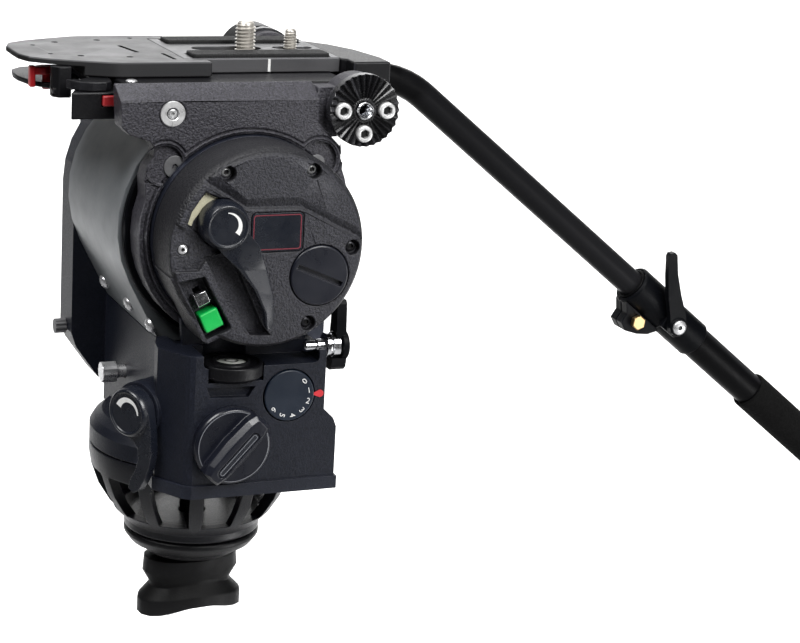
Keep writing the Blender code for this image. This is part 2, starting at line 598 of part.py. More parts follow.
def pan_dial():
    f = T(DIAL[0], DIAL[1])
    gear = prism("pan_dial", gear_profile(T_DIAL, MODULE * T_DIAL / 2, MESH_A + math.pi + math.pi / T_DIAL), f, 67.5, 71.0, "dial_navy")
    stem = cyl("st", f, 3.1, 70.0, 83.5, None, 24)
    disc = lathe("ds", [(0, 82.8), (11.7, 82.8), (11.7, 85.3), (11.3, 85.7), (0, 85.7)], f, None, 64)
    return pivot(fuse(gear, stem, disc), (DIAL[0], FACE_Y, DIAL[1]))


pan_fluid_knob()
pan_dial()

# ================================================================= pan lock
PL = about(HUB, tuple(FT), (0, 0, 1), tuple(FN))


def pan_lock_lever():
    hub = lathe("pan_lock_lever", [(0, -15.6), (4.1, -15.6), (4.1, 1.9), (11.2, 1.9), (11.2, 6.4), (10.6, 8.2), (9.9, 8.9), (9.2, 8.9), (8.8, 8.3), (0, 8.3)],
                PL, "plastic_black", 56)
    out = [(7.5, 5.5), (0, 9.0), (-7.4, 6.6), (-11.0, 1.8), (-12.2, -2.0), (-13.1, -7.6), (-13.7, -16.3), (-12.5, -23.2), (-9.9, -29.6), (-6.6, -34.9), (-3.8, -36.6),
           (-0.8, -35.1), (-1.3, -31.4), (-4.6, -25.6), (-6.1, -20.4), (-5.4, -15.2), (-2.4, -12.4), (2.9, -10.2), (7.6, -8.2), (11.0, -4.0), (11.2, 1.0)]
    blade = prism("bl", out, PL, 2.4, 6.9)
    return pivot(fuse(hub, blade), HUB)


pan_lock_lever()

# ================================================================= rear lever
lathe("lock_rod", [(0, 22.4), (1.6, 22.4), (2.4, 23.2), (2.4, 28.4), (3.0, 28.4), (3.0, 32.4), (5.6, 32.4), (5.6, 34.4), (4.9, 34.6), (4.9, 35.2), (5.8, 35.4), (5.8, 38.7), (0, 38.7)],
      Xf(-80.0, 66.6), "steel", 48)


def rear_lever():
    f = Xf(-80.0, 66.6)
    hub = lathe("rear_lever", [(0, 39.0), (6.4, 39.0), (6.9, 39.5), (6.9, 41.8), (6.2, 42.5), (0, 42.5)], f, "plastic_black", 48)
    fin = prism("fn", [(-4.6, 3), (4.4, 3), (3.6, 12), (3.2, 19.6), (1.8, 21.0), (-2.4, 21.0), (-3.6, 19.4), (-4.0, 12)], f, 36.4, 41.2, None)
    fin = cut(fin, cyl("c", f, 6.1, 30.0, 38.9, None, 48))
    cap = prism("cp", [(-5.4, -5.0), (-4.6, -9.0), (-2.6, -10.8), (2.0, -11.0), (4.6, -9.0), (5.4, -5.0)], f, 34.4, 41.4, None)
    cap = cut(cap, cyl("c", f, 6.1, 30.0, 38.9, None, 48))
    return pivot(fuse(hub, fin, cap), (39.0, -80.0, 66.6))


rear_lever()


def knurled(name, f, h0, h1, r, stem_r, h_stem, n=12):
    pts = []
    for k in range(n * 2):
        a = math.pi * k / n
        q = r if k % 2 == 0 else r - 0.5
        pts.append((q * math.cos(a), q * math.sin(a)))
    head = prism(name, pts, f, h0, h1, "steel", 0.0)
    stem = cyl("s", f, stem_r, min(h_stem, h0), max(h_stem, h0) + 0.5, None, 24)
    return fuse(head, stem)


XN = about((0, 4.0, 34.0), (0, 1, 0), (0, 0, 1), (-1, 0, 0))
knurled("front_stud", XN, 38.4, 45.4, 5.0, 3.0, 31.8)
XN2 = about((0, 48.0, 45.0), (0, 1, 0), (0, 0, 1), (-1, 0, 0))
knurled("arm_screw", XN2, 51.1, 56.4, 3.7, 2.0, 40.4)

# ================================================================= inside the drum and the base
cyl("bearing_near", F(0, TILT_Z), 18.0, -50.0, -46.8, "steel", 48, 0.4, SHAFT_R + 0.35)
cyl("bearing_far", F(0, TILT_Z), 18.0, 31.0, 37.0, "steel", 48, 0.4, SHAFT_R + 0.35)


def plates(name, f, r0, r1, h0, h1, n, mat):
    """stack of drag plates on a common sleeve, alternate rims standing proud."""
    prof = [(r0, h0)]
    d = (h1 - h0) / n
    for i in range(n):
        a = h0 + d * i
        r = r1 if i % 2 == 0 else r1 - 2.5
        prof += [(r, a), (r, a + d)]
    prof += [(r0, h1)]
    return lathe(name, prof, f, mat, 56)


plates("tilt_drag_pack", F(0, TILT_Z), SHAFT_R + 0.35, 46.0, -44.0, -10.0, 3, "drum_grey")
plates("pan_drag_pack", ax_z, SHAFT_R + 0.35, 29.6, 17.4, 40.2, 3, "drum_grey")


def spring():
    """counterbalance spring, four turns about the tilt shaft."""
    bm = bmesh.new()
    turns, per, rw, R = 4.0, 11, 2.4, 24.0
    n = int(turns * per)
    rings = []
    for i in range(n + 1):
        t = 2 * math.pi * i / per
        y = -4.0 + (30.0 - 2.0) * i / n
        c = Vector((R * math.cos(t), y, TILT_Z + R * math.sin(t)))
        er = Vector((math.cos(t), 0, math.sin(t)))
        ey = Vector((0, 1, 0))
        rings.append([bm.verts.new((c + er * rw * math.cos(2 * math.pi * k / 5) + ey * rw * math.sin(2 * math.pi * k / 5)) * MM) for k in range(5)])
    for a, b in zip(rings[:-1], rings[1:]):
        for k in range(5):
            l = (k + 1) % 5
            bm.faces.new([a[k], a[l], b[l], b[k]])
    bm.faces.new(rings[0])
    bm.faces.new(rings[-1])
    return finish(bm, "counterbalance_spring", "steel")


spring()

# ================================================================= tilting saddle
def cheek_outline(near=True):
    right = arc(0, 0, 54.0, 21.0, 29.0, 3) + [(43.2, 31.1), (42.6, 37.6), (31.6, 48.5), (31.6, 59.2), (31.6, 65.2)]
    if near:
        left = [(-58.4, 65.2), (-58.4, 59.5), (-57.6, 48.0), (-54.3, 44.8), (-45.4, 42.0), (-42.6, 38.8), (-42.4, 35.2), (-45.4, 30.6), (-47.0, 25.0), (-46.6, 19.0)]
        return left + arc(0, 0, 49.5, 160.0, 378.0, 22) + right
    left = [(-41.0, 65.2), (-41.0, 22.0)]
    return left + arc(0, 0, COVER_R0, 156.0, 374.0, 16) + right


def near_cheek():
    f = T(0, TILT_Z)
    ob = prism("near_cheek", cheek_outline(), f, 50.6, 63.0, "cast_charcoal")
    # lug behind the near rosette and the web that joins it to the cheek
    r = (ROS_X, ROS_Z - TILT_Z)
    lug = cyl("lug", T(ROS_X, ROS_Z), 15.0, 50.6, 62.9, None, 48)
    web = prism("web", [(28, 64.0), (28, 47), (38, 41.5), (52, 42), (52, 64.0)], f, 50.6, 60.0)
    ob = fuse(ob, lug, web)
    # sloping top edge
    wedge = prism("w", [(-63.4, 59.1), (-70.0, 59.1), (-70.0, 75.0), (-48.0, 75.0), (-48.0, 67.3), (-52.0, 65.2)], lambda a, b, h: (h, a, TILT_Z + b), -62.0, 31.8)
    # pocket for the carrier disc
    lobes = cyl("p", f, 45.2, 60.3, 66.0, None, 72)
    l1 = cyl("p", T(-38.3, TILT_Z + 31.8), 9.0, 60.9, 66.0, None, 32)
    l2 = cyl("p", T(32.4, TILT_Z + 32.2), 9.0, 60.9, 66.0, None, 32)
    bore = cyl("p", f, SHAFT_R + 0.35, 48.0, 66.0, None, 40)
    cuts = [wedge, lobes, l1, l2, bore]
    cs = T(-35.3, TILT_Z + 53.7)
    cuts.append(lathe("p", [(0, 56.0), (2.6, 56.0), (2.6, 59.4), (6.0, 62.7), (6.0, 64.0), (0, 64.0)], cs, None, 28))
    for a in (180, 0, 270):
        p = T(ROS_X + 10.3 * math.cos(math.radians(a)), ROS_Z + 10.3 * math.sin(math.radians(a)))
        cuts.append(cyl("p", p, 2.3, 54.6, 64.0, None, 20))
    cuts.append(cyl("p", T(ROS_X, ROS_Z), 4.0, 54.6, 64.0, None, 28))
    return cut(ob, *cuts)


near_cheek()


def far_cheek():
    f = F(0, TILT_Z)
    ob = prism("far_cheek", cheek_outline(False), f, FAR_Y0, FAR_Y1, "cast_charcoal")
    lug = cyl("lug", F(ROS_X, ROS_Z), 15.0, FAR_Y0, FAR_Y1, None, 48)
    web = prism("web", [(28, 65.2), (28, 47), (38, 41.5), (52, 42), (52, 65.2)], f, FAR_Y0, FAR_Y1)
    ob = fuse(ob, lug, web)
    bore = cyl("p", f, SHAFT_R + 0.35, 50.0, 70.0, None, 40)
    cb = cyl("p", F(ROS_X, ROS_Z), 4.7, 50.0, 70.0, None, 32)
    return cut(ob, bore, cb)


far_cheek()
cyl("tilt_shaft", F(0, TILT_Z), SHAFT_R, -69.9, 66.2, "steel", 48, 0.6)


def saddle_plate():
    ob = box("saddle_plate", -53.7, 50.0, -50.3, 58.7, SADDLE_Z0, SADDLE_Z1, "cast_black", 0.5)
    ch = prism("ch", [(-18.4, 175.2), (18.4, 175.2), (15.7, 180.5), (-15.7, 180.5)], lambda a, b, h: (h, a, b), -22.0, 54.0)
    return cut(ob, ch)


saddle_plate()


def half_deck():
    return [(-90.6, 0.0), (-90.4, 11.0), (-87.6, 19.4), (-80.0, 25.4), (-72.0, 29.4), (-64.0, 33.0), (-55.0, 36.9), (-50.0, DECK_HW)]


def deck_outline(x_end):
    h = half_deck()
    far = h[1:] + [(x_end, DECK_HW)]
    return [h[0]] + far + [(x, -y) for x, y in far[::-1]]


def front_deck():
    # U shape around the camera plate
    body = deck_outline(-10.0)
    ob = prism("front_deck", body, ax_z, 179.9, PLATE_Z1, "deck_grey", 0.5, 1, 60)
    c = box("c", -20.3, 0.0, -PLATE_HW - 0.3, PLATE_HW + 0.3, 179.0, 188.0)
    # the front overhang is a thin sheet
    u = box("u", -95.0, -66.0, -45, 45, 179.0, 184.2)
    return cut(ob, c, u)


front_deck()


def lower_deck():
    pts = [(-66.0, -20.0), (-71.4, -24.0), (-71.4, -30.0), (-79.4, -30.0), (-79.4, -24.4), (-77.4, -17.1), (-81.5, -13.1), (-84.9, -6.6), (-87.0, 3.1), (-87.1, 11.2), (-85.3, 20.9), (-80.0, 27.0),
           (-71.5, 29.0), (-60.0, 29.0), (-60.0, -2.0)]
    ob = prism("lower_deck", pts, ax_z, 172.0, 174.3, "cast_black", 0.3)
    br = prism("br", [(-79.4, -24.2), (-79.4, -28.0), (-77.0, -31.0), (-71.4, -31.0), (-71.4, -24.2)], ax_z, 170.2, 183.9, None, 0.4)
    ob = fuse(ob, br)
    pin = cyl("c", Zf(-77.6, -11.6), 2.2, 170.0, 176.0, None, 20)
    return cut(ob, pin)


lower_deck()


def front_block():
    ob = prism("front_block", [(-75.8, -47.0), (-54.1, -47.0), (-54.1, -4.0), (-57.5, -4.0)], ax_z, 163.6, 175.5, "cast_black", 0.5)
    b = box("b", -62.4, -55.2, -50.0, -38.7, 169.1, 174.3)
    p = cyl("p", Zf(-60.0, -16.0), 2.4, 167.6, 178.0, None, 20)
    return cut(ob, b, p)


front_block()
pivot(box("red_button", -62.1, -55.5, -48.3, -40.3, 169.4, 174.0, "red_plastic", 0.4), (-58.8, -48.3, 171.7))


def plate_lock_lever():
    pts = [(-57.4, -44.0), (-60.0, -46.2), (-66.5, -46.6), (-71.5, -44.6), (-74.5, -40.6), (-75.6, -37.0), (-70.0, -37.5), (-64.5, -33.0), (-63.2, -24.0), (-63.6, -16.0), (-60.0, -12.4),
           (-57.0, -14.6), (-56.2, -20.0), (-56.2, -38.0)]
    ob = prism("plate_lock_lever", pts, ax_z, 175.8, 179.6, "plate_grey", 0.0)
    pin = cyl("p", Zf(-60.0, -16.0), 2.1, 168.0, 176.2, None, 20)
    return pivot(fuse(ob, pin), (-60.0, -16.0, 177.0))


plate_lock_lever()


def safety_catch():
    ob = box("safety_catch", -86.1, -83.5, -16.0, -12.4, 172.4, 181.8, "red_anodised", 0.4)
    arm = prism("a", [(-84.5, -15.6), (-79.0, -15.8), (-75.0, -13.6), (-74.8, -9.6), (-79.6, -9.0), (-84.5, -12.8)], ax_z, 177.8, 181.4, None, 0.4, 1)
    pin = cyl("p", Zf(-77.6, -11.6), 1.9, 171.0, 178.4, None, 20)
    return pivot(fuse(ob, arm, pin), (-77.6, -11.6, 179.0))


safety_catch()


def camera_plate():
    ob = prism("camera_plate", [(-20.0, -PLATE_HW), (54.0, -PLATE_HW), (54.0, PLATE_HW), (-20.0, PLATE_HW)], ax_z, 179.9, PLATE_Z1, "plate_grey", 0.4)
    tongue = prism("t", [(-18.0, 175.5), (18.0, 175.5), (15.6, 180.2), (-15.6, 180.2)], lambda a, b, h: (h, a, b), -20.0, 54.0)
    ob = fuse(ob, tongue)
    cuts = []
    for s in (-1, 1):
        cuts.append(box("s", -15.3, 50.3, min(13.3 * s, 26.5 * s), max(13.3 * s, 26.5 * s), 185.8, 188.0))
    cuts.append(prism("s", rrect(-7.5, 25.5, -5.1, 5.1, 5.0, 4), ax_z, 170.0, 190.0))
    cuts.append(prism("s", rrect(31.5, 50.5, -3.6, 3.6, 3.5, 4), ax_z, 170.0, 190.0))
    cuts.append(prism("s", rrect(-10.5, 28.5, -8.2, 8.2, 8.0, 4), ax_z, 170.0, 182.2))
    cuts.append(prism("s", rrect(29.5, 52.5, -6.6, 6.6, 6.5, 4), ax_z, 170.0, 182.2))
    return cut(ob, *cuts)


camera_plate()
for nm, s in (("grip_strip_near", -1), ("grip_strip_far", 1)):
    prism(nm, rrect(-15.0, 50.0, min(13.6 * s, 26.2 * s), max(13.6 * s, 26.2 * s), 2.0, 2), ax_z, 186.1, 188.0, "rubber", 0.3)


def camera_screw(name, x, y, r, rh, top):
    prof = [(0, 176.0), (rh - 0.4, 176.0), (rh, 176.4), (rh, 181.8), (r, 181.8), (r, top - 0.8), (r - 0.8, top), (0, top)]
    ob = lathe(name, prof, Zf(x, y), "steel", 36)
    s = box("s", x - rh * 0.8, x + rh * 0.8, y - 0.7, y + 0.7, 175.0, 177.4)
    return pivot(cut(ob, s), (x, y, 184.0))


camera_screw("camera_screw_large", 18.0, 0.0, 4.7, 7.8, 199.0)
camera_screw("camera_screw_small", 40.0, 0.0, 3.15, 6.0, 195.4)


def rear_deck():
    ob = prism("rear_deck", [(57.0, -38.0), (75.0, -38.0), (75.4, -25.0), (71.5, -3.0), (64.0, 14.0), (54.4, 25.0), (54.4, -27.6), (57.0, -29.0)], ax_z, 170.0, PLATE_Z1 - 0.6, "cast_black", 0.6, 1, 50)
    return ob


rear_deck()

# ================================================================= rosettes
def rosette(name, f, h0, h1, tooth, r_in, n, mat, bores):
    """disc with radial teeth on its outer face."""
    bm = bmesh.new()
    seg = 2 * n
    rows = []

    def ring(r, hs):
        rows.append([bm.verts.new(Vector(f(r * math.cos(math.pi * k / n), r * math.sin(math.pi * k / n), hs[k % 2])) * MM) for k in range(seg)])
    ring(4.3, (h0, h0))
    ring(ROS_R, (h0, h0))
    ring(ROS_R, (h1 + tooth, h1))
    ring(r_in, (h1 + tooth * 0.5, h1))
    ring(r_in - 0.4, (h1 + tooth * 0.5, h1 + tooth * 0.5))
    ring(4.3, (h1 + tooth * 0.5, h1 + tooth * 0.5))
    for i in range(len(rows)):
        A, B = rows[i], rows[(i + 1) % len(rows)]
        for k in range(seg):
            l = (k + 1) % seg
            bm.faces.new([A[k], B[k], B[l]])
            bm.faces.new([A[k], B[l], A[l]])
    ob = finish(bm, name, mat)
    if bores:
        ob = cut(ob, *bores)
    return ob


bl = []
for a in (180, 0, 270):
    p = T(ROS_X + 10.3 * math.cos(math.radians(a)), ROS_Z + 10.3 * math.sin(math.radians(a)))
    bl.append(lathe("b", [(0, 60.0), (2.3, 60.0), (2.3, 65.6), (4.2, 65.6), (4.2, 72.0), (0, 72.0)], p, None, 24))
rosette("rosette_near", T(ROS_X, ROS_Z), 63.3, 67.0, 1.5, 5.6, 16, "cast_black", bl)
rosette("rosette_far", F(ROS_X, ROS_Z), 65.8, 69.4, 1.4, 5.6, 16, "cast_black", [])
for i, a in enumerate((180, 0, 270)):
    p = T(ROS_X + 10.3 * math.cos(math.radians(a)), ROS_Z + 10.3 * math.sin(math.radians(a)), -66.0)
    socket_screw("rosette_screw_%d" % (i + 1), p, 3.8, 3.4, 1.9, 9.0, 1.7)
socket_screw("cheek_screw", T(-35.3, TILT_Z + 53.7, -62.0), 2.2, 0.7, 2.2, 5.4, 1.3)


# ================================================================= pan bar
def bar_path():
    """centre line in the plane Y = BAR_Y with a rounded bend."""
    a0 = math.atan2(BAR_BEND[1] - ROS_Z, BAR_BEND[0] - ROS_X)
    a1 = BAR_ANG
    R = 46.0
    t = R * math.tan(abs(a1 - a0) / 2)
    p0 = (ROS_X - 2.0 * math.cos(a0), ROS_Z - 2.0 * math.sin(a0))
    s = (BAR_BEND[0] - t * math.cos(a0), BAR_BEND[1] - t * math.sin(a0))
    cx, cz = s[0] + R * math.sin(a0), s[1] - R * math.cos(a0)
    pts = [(p0, a0)]
    n = 4
    for i in range(n + 1):
        a = a0 + (a1 - a0) * i / n
        pts.append(((cx - R * math.sin(a), cz + R * math.cos(a)), a))
    L = 345.0
    pts.append(((BAR_BEND[0] + L * math.cos(a1), BAR_BEND[1] + L * math.sin(a1)), a1))
    return pts


def bar_arm():
    bm = bmesh.new()
    seg = 14
    rings = []
    for (x, z), a in bar_path():
        nx, nz = -math.sin(a), math.cos(a)
        rings.append([bm.verts.new(Vector((x + nx * BAR_R * math.cos(2 * math.pi * k / seg), BAR_Y + BAR_R * math.sin(2 * math.pi * k / seg), z + nz * BAR_R * math.cos(2 * math.pi * k / seg))) * MM)
                      for k in range(seg)])
    for a, b in zip(rings[:-1], rings[1:]):
        for k in range(seg):
            l = (k + 1) % seg
            bm.faces.new([a[k], a[l], b[l], b[k]])
    bm.faces.new(rings[0])
    bm.faces.new(rings[-1])
    ob = finish(bm, "bar_arm", "bar_black")
    # toothed head that meets the far rosette
    head = lathe("hd", [(4.4, 71.5), (15.0, 71.5), (ROS_R, 72.4), (ROS_R, 88.8), (15.0, 90.2), (4.4, 90.2)], F(ROS_X, ROS_Z), None, 56)
    ob = fuse(ob, head)
    bore = cyl("b", F(ROS_X, ROS_Z), 4.4, 60.0, 100.0, None, 32)
    return pivot(cut(ob, bore), (ROS_X, BAR_Y, ROS_Z))


bar_arm()


def bar_clamp_knob():
    f = F(ROS_X, ROS_Z)
    pts = []
    n = 8
    for k in range(n * 3):
        a = 2 * math.pi * k / (n * 3)
        r = 8.6 + 0.9 * math.cos(n * a)
        pts.append((r * math.cos(a), r * math.sin(a)))
    knob = prism("bar_clamp_knob", pts, f, 90.5, 100.0, "plastic_black", 0.8, 1, 60)
    stem = cyl("s", f, 4.1, 60.2, 91.0, None, 32)
    return pivot(fuse(knob, stem), (ROS_X, 90.0, ROS_Z))


bar_clamp_knob()

BU = (math.cos(BAR_ANG), 0, math.sin(BAR_ANG))         # along the bar
BV = (-math.sin(BAR_ANG), 0, math.cos(BAR_ANG))        # across it, upwards
BO = (BAR_BEND[0], BAR_Y, BAR_BEND[1])
BS = about(BO, BV, (0, 1, 0), BU)                      # lathe frame: h runs along the bar
BY = about((BO[0], 0, BO[2]), BU, BV, (0, -1, 0))      # prism frame: h towards -Y
S_TUBE0, S_GRIP0, S_GRIP1 = 181.0, 286.0, 408.0


def bar_pivot(ob):
    return pivot(ob, BS(0, 0, S_TUBE0))


bar_pivot(lathe("bar_tube", [(BAR_R + 0.3, S_TUBE0), (TUBE_R - 0.3, S_TUBE0), (TUBE_R, S_TUBE0 + 0.3), (TUBE_R, S_GRIP1 - 6.0), (BAR_R + 0.3, S_GRIP1 - 6.0)], BS, "bar_black", 40))


def bar_grip():
    prof = [(TUBE_R + 0.3, S_GRIP0), (10.2, S_GRIP0), (10.8, S_GRIP0 + 0.8), (10.8, S_GRIP1 - 5.0)]
    prof += [(11.2, S_GRIP1 - 4.0), (11.2, S_GRIP1), (9.2, S_GRIP1 + 3.0), (0, S_GRIP1 + 3.4), (0, S_GRIP1 - 5.7), (TUBE_R + 0.3, S_GRIP1 - 5.7)]
    return bar_pivot(lathe("bar_grip", prof, BS, "foam", 40))


bar_grip()


def bar_collar():
    ob = lathe("bar_collar", [(TUBE_R + 0.3, 181.6), (10.4, 181.6), (11.2, 182.6), (11.2, 208.0), (10.4, 209.0), (10.4, 235.0), (9.8, 236.0), (TUBE_R + 0.3, 236.0)], BS, "plastic_black", 48)
    # clamp lug under the tube, split along its middle
    lug = prism("lg", [(182.6, -9.9), (210.4, -9.9), (206.2, -15.6), (200.4, -19.5), (193.2, -22.4), (188.0, -20.4), (187.4, -14.8)], BY, -BAR_Y - 6.5, -BAR_Y + 6.5, None)
    # bearing of the clamp lever on the side
    ear = prism("er", [(206.0, -8.0), (217.5, -8.0), (217.5, 3.0), (206.0, 3.0)], BY, -BAR_Y + 9.6, -BAR_Y + 12.4, None)
    ob = fuse(ob, lug, ear)
    slit = prism("sl", [(176.0, -9.8), (214.0, -9.8), (214.0, -26.0), (176.0, -26.0)], BY, -BAR_Y - 0.5, -BAR_Y + 0.5)
    b1 = cyl("b1", about(BY(195.2, -14.4, 0), BU, BV, (0, -1, 0)), 2.8, -BAR_Y - 8, -BAR_Y + 8, None, 24)
    b2 = cyl("b2", about(BY(212.0, -2.6, 0), BU, BV, (0, -1, 0)), 2.3, -BAR_Y + 10.8, -BAR_Y + 18, None, 20)
    return bar_pivot(cut(ob, slit, b1, b2))


bar_collar()


def collar_bolt():
    f = about(BY(195.2, -14.4, 0), BU, BV, (0, -1, 0))
    head = prism("collar_bolt", [(4.2 * math.cos(math.radians(60 * k)), 4.2 * math.sin(math.radians(60 * k))) for k in range(6)], f, -BAR_Y + 6.9, -BAR_Y + 10.0, "brass", 0.3)
    sh = cyl("s", f, 2.5, -BAR_Y - 6.0, -BAR_Y + 7.4, None, 24)
    return bar_pivot(fuse(head, sh))


collar_bolt()


def collar_lever():
    f = about(BY(212.0, -2.6, 0), (1, 0, 0), (0, 0, 1), (0, -1, 0))
    hub = lathe("collar_lever", [(0, -BAR_Y + 11.2), (2.0, -BAR_Y + 11.2), (2.0, -BAR_Y + 12.8), (5.2, -BAR_Y + 12.8), (5.2, -BAR_Y + 17.6), (4.6, -BAR_Y + 18.2), (0, -BAR_Y + 18.2)], f, "plastic_black", 36)
    pts = [(-4.6, -3.4), (4.8, -3.4), (4.4, 6.0), (0.2, 18.0), (-3.0, 30.0), (-4.4, 40.6), (-6.0, 42.2), (-8.8, 41.8), (-9.6, 40.0), (-9.0, 28.0), (-7.6, 16.0), (-5.6, 6.0)]
    bl = prism("bl", pts, f, -BAR_Y + 13.2, -BAR_Y + 17.2, None)
    return pivot(fuse(hub, bl), f(0, 0, -BAR_Y + 16.0))


collar_lever()

# every piece carries a finish of its own
for ob in list(bpy.data.objects):
    if ob.type == 'MESH' and ob.data.materials:
        own = ob.data.materials[0].copy()
        own.name = ob.name + "_finish"
        ob.data.materials[0] = own
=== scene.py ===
# Looks of the fluid video head: refined meshes for every visible piece, procedural
# finishes, studio light and the camera. Lengths in the modelling part are
# millimetres; MM turns them into metres.
import bpy
import bmesh
import json
import math
from mathutils import Vector, Matrix


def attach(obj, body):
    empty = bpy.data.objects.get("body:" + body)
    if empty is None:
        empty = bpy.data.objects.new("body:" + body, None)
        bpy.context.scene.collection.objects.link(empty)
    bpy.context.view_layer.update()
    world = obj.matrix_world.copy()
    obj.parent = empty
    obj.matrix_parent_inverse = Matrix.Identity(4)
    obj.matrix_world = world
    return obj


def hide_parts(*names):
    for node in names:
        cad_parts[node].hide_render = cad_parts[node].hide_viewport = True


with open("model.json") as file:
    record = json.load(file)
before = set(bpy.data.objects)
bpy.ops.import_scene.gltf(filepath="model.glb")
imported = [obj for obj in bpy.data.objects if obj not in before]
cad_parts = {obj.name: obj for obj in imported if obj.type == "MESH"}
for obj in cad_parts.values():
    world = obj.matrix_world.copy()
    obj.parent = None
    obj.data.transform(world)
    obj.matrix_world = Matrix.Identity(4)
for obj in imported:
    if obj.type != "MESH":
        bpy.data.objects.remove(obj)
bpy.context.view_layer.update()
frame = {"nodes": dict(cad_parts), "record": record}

MM = 0.001
GAP = 0.3                 # clearance between neighbouring pieces
FACETS = 1.2              # facet count of round pieces against the nominal one

BALL_R = 50.0             # half ball, 100 mm bowl size
TILT_Z = 114.8            # tilt axis above the ball centre
DRUM_R = 53.8             # fixed drum
DRUM_Y0, DRUM_Y1 = -46.3, 37.2
FLANGE_R = 52.2
SHAFT_R = 9.0             # tilt shaft
COVER_R0, COVER_R1 = 44.0, 43.0
COVER_Y0, COVER_Y1 = -66.3, -93.2
CHEEK_Y0, CHEEK_Y1 = -63.0, -50.6
ARM_Y0, ARM_Y1 = 37.5, 58.5
FAR_Y0, FAR_Y1 = 59.0, 65.5
FACE_Y = -85.0            # control face of the pan body
SADDLE_Z0, SADDLE_Z1 = 173.0, 179.6
PLATE_Z1 = 186.5          # top of the camera plate
PLATE_HW = 28.0           # half width of the camera plate
DECK_HW = 38.0            # half width of the front deck
ROS_X, ROS_Z = 51.2, 169.4
ROS_R = 16.2
BAR_Y = 81.0              # plane of the pan bar
BAR_R = 7.4               # inner tube radius
TUBE_R = 9.1              # outer tube radius
BAR_ANG = math.radians(-38.95)
BAR_BEND = (134.3, 155.8) # where the bar turns downwards
WING_A = math.radians(6.4)  # direction of the clamp handle's wings


# ---------------------------------------------------------------- helpers
def ax_x(a, b, h):
    return (h, a, b)


def ax_y(a, b, h):
    return (a, h, b)


def ax_z(a, b, h):
    return (a, b, h)


def about(origin, u, v, w):
    o, u, v, w = Vector(origin), Vector(u).normalized(), Vector(v).normalized(), Vector(w).normalized()

    def f(a, b, h):
        return tuple(o + u * a + v * b + w * h)
    return f


def shifted(fn, o):
    def f(a, b, h):
        p = fn(a, b, h)
        return (p[0] + o[0], p[1] + o[1], p[2] + o[2])
    return f


def finish(bm, name, mat=None, smooth=True, keep=True):
    bmesh.ops.recalc_face_normals(bm, faces=bm.faces)
    if bm.calc_volume(signed=True) < 0:
        bmesh.ops.reverse_faces(bm, faces=bm.faces)
    me = bpy.data.meshes.new("v_" + name)
    bm.to_mesh(me)
    bm.free()
    ob = bpy.data.objects.new("v_" + name, me)
    bpy.context.scene.collection.objects.link(ob)
    if smooth:
        shade(ob)
    return ob


def shade(ob, deg=32):
    me = ob.data
    for p in me.polygons:
        p.use_smooth = True
    me.set_sharp_from_angle(angle=math.radians(deg))


def bevel_bm(bm, width, seg=1, deg=25.0, test=None):
    if width <= 0:
        return
    es = []
    for e in bm.edges:
        if len(e.link_faces) == 2 and e.calc_face_angle(0.0) > math.radians(deg):
            if test is None or test(e):
                es.append(e)
    if es:
        bmesh.ops.bevel(bm, geom=es, offset=width * MM, segments=seg, affect='EDGES',
                        profile=0.5, clamp_overlap=True)


def prism(name, pts, fn, h0, h1, mat=None, bev=0.0, seg=1, deg=25.0, test=None, keep_bm=False):
    bm = bmesh.new()
    lo = [bm.verts.new(Vector(fn(a, b, h0)) * MM) for a, b in pts]
    hi = [bm.verts.new(Vector(fn(a, b, h1)) * MM) for a, b in pts]
    n = len(pts)
    bm.faces.new(lo)
    bm.faces.new(hi)
    for i in range(n):
        j = (i + 1) % n
        bm.faces.new([lo[i], lo[j], hi[j], hi[i]])
    bmesh.ops.recalc_face_normals(bm, faces=bm.faces)
    bevel_bm(bm, bev, seg, deg, test)
    return finish(bm, name, mat)


def box(name, x0, x1, y0, y1, z0, z1, mat=None, bev=0.0, seg=1):
    return prism(name, [(x0, y0), (x1, y0), (x1, y1), (x0, y1)], ax_z, z0, z1, mat, bev, seg)


def lathe(name, prof, fn, mat=None, seg=64, phase=0.0):
    seg = max(10, 2 * int(round(seg * FACETS / 2)))
    bm = bmesh.new()
    rings = []
    for r, h in prof:
        if r < 1e-6:
            rings.append([bm.verts.new(Vector(fn(0, 0, h)) * MM)])
        else:
            rings.append([bm.verts.new(Vector(fn(r * math.cos(2 * math.pi * k / seg + phase),
                                                 r * math.sin(2 * math.pi * k / seg + phase), h)) * MM)
                          for k in range(seg)])
    n = len(prof)
    for i in range(n):
        A, B = rings[i], rings[(i + 1) % n]
        if len(A) == 1 and len(B) == 1:
            continue
        for k in range(seg):
            l = (k + 1) % seg
            if len(A) == 1:
                bm.faces.new([A[0], B[k], B[l]])
            elif len(B) == 1:
                bm.faces.new([A[k], B[0], A[l]])
            else:
                bm.faces.new([A[k], B[k], B[l], A[l]])
    return finish(bm, name, mat)


def cyl(name, fn, r, h0, h1, mat=None, seg=48, ch=0.0, bore=0.0):
    lo, hi = min(h0, h1), max(h0, h1)
    if ch > 0:
        prof = [(r - ch, lo), (r, lo + ch), (r, hi - ch), (r - ch, hi)]
    else:
        prof = [(r, lo), (r, hi)]
    if bore > 0:
        prof = [(bore, lo)] + prof + [(bore, hi)]
    else:
        prof = [(0, lo)] + prof + [(0, hi)]
    return lathe(name, prof, fn, mat, seg)


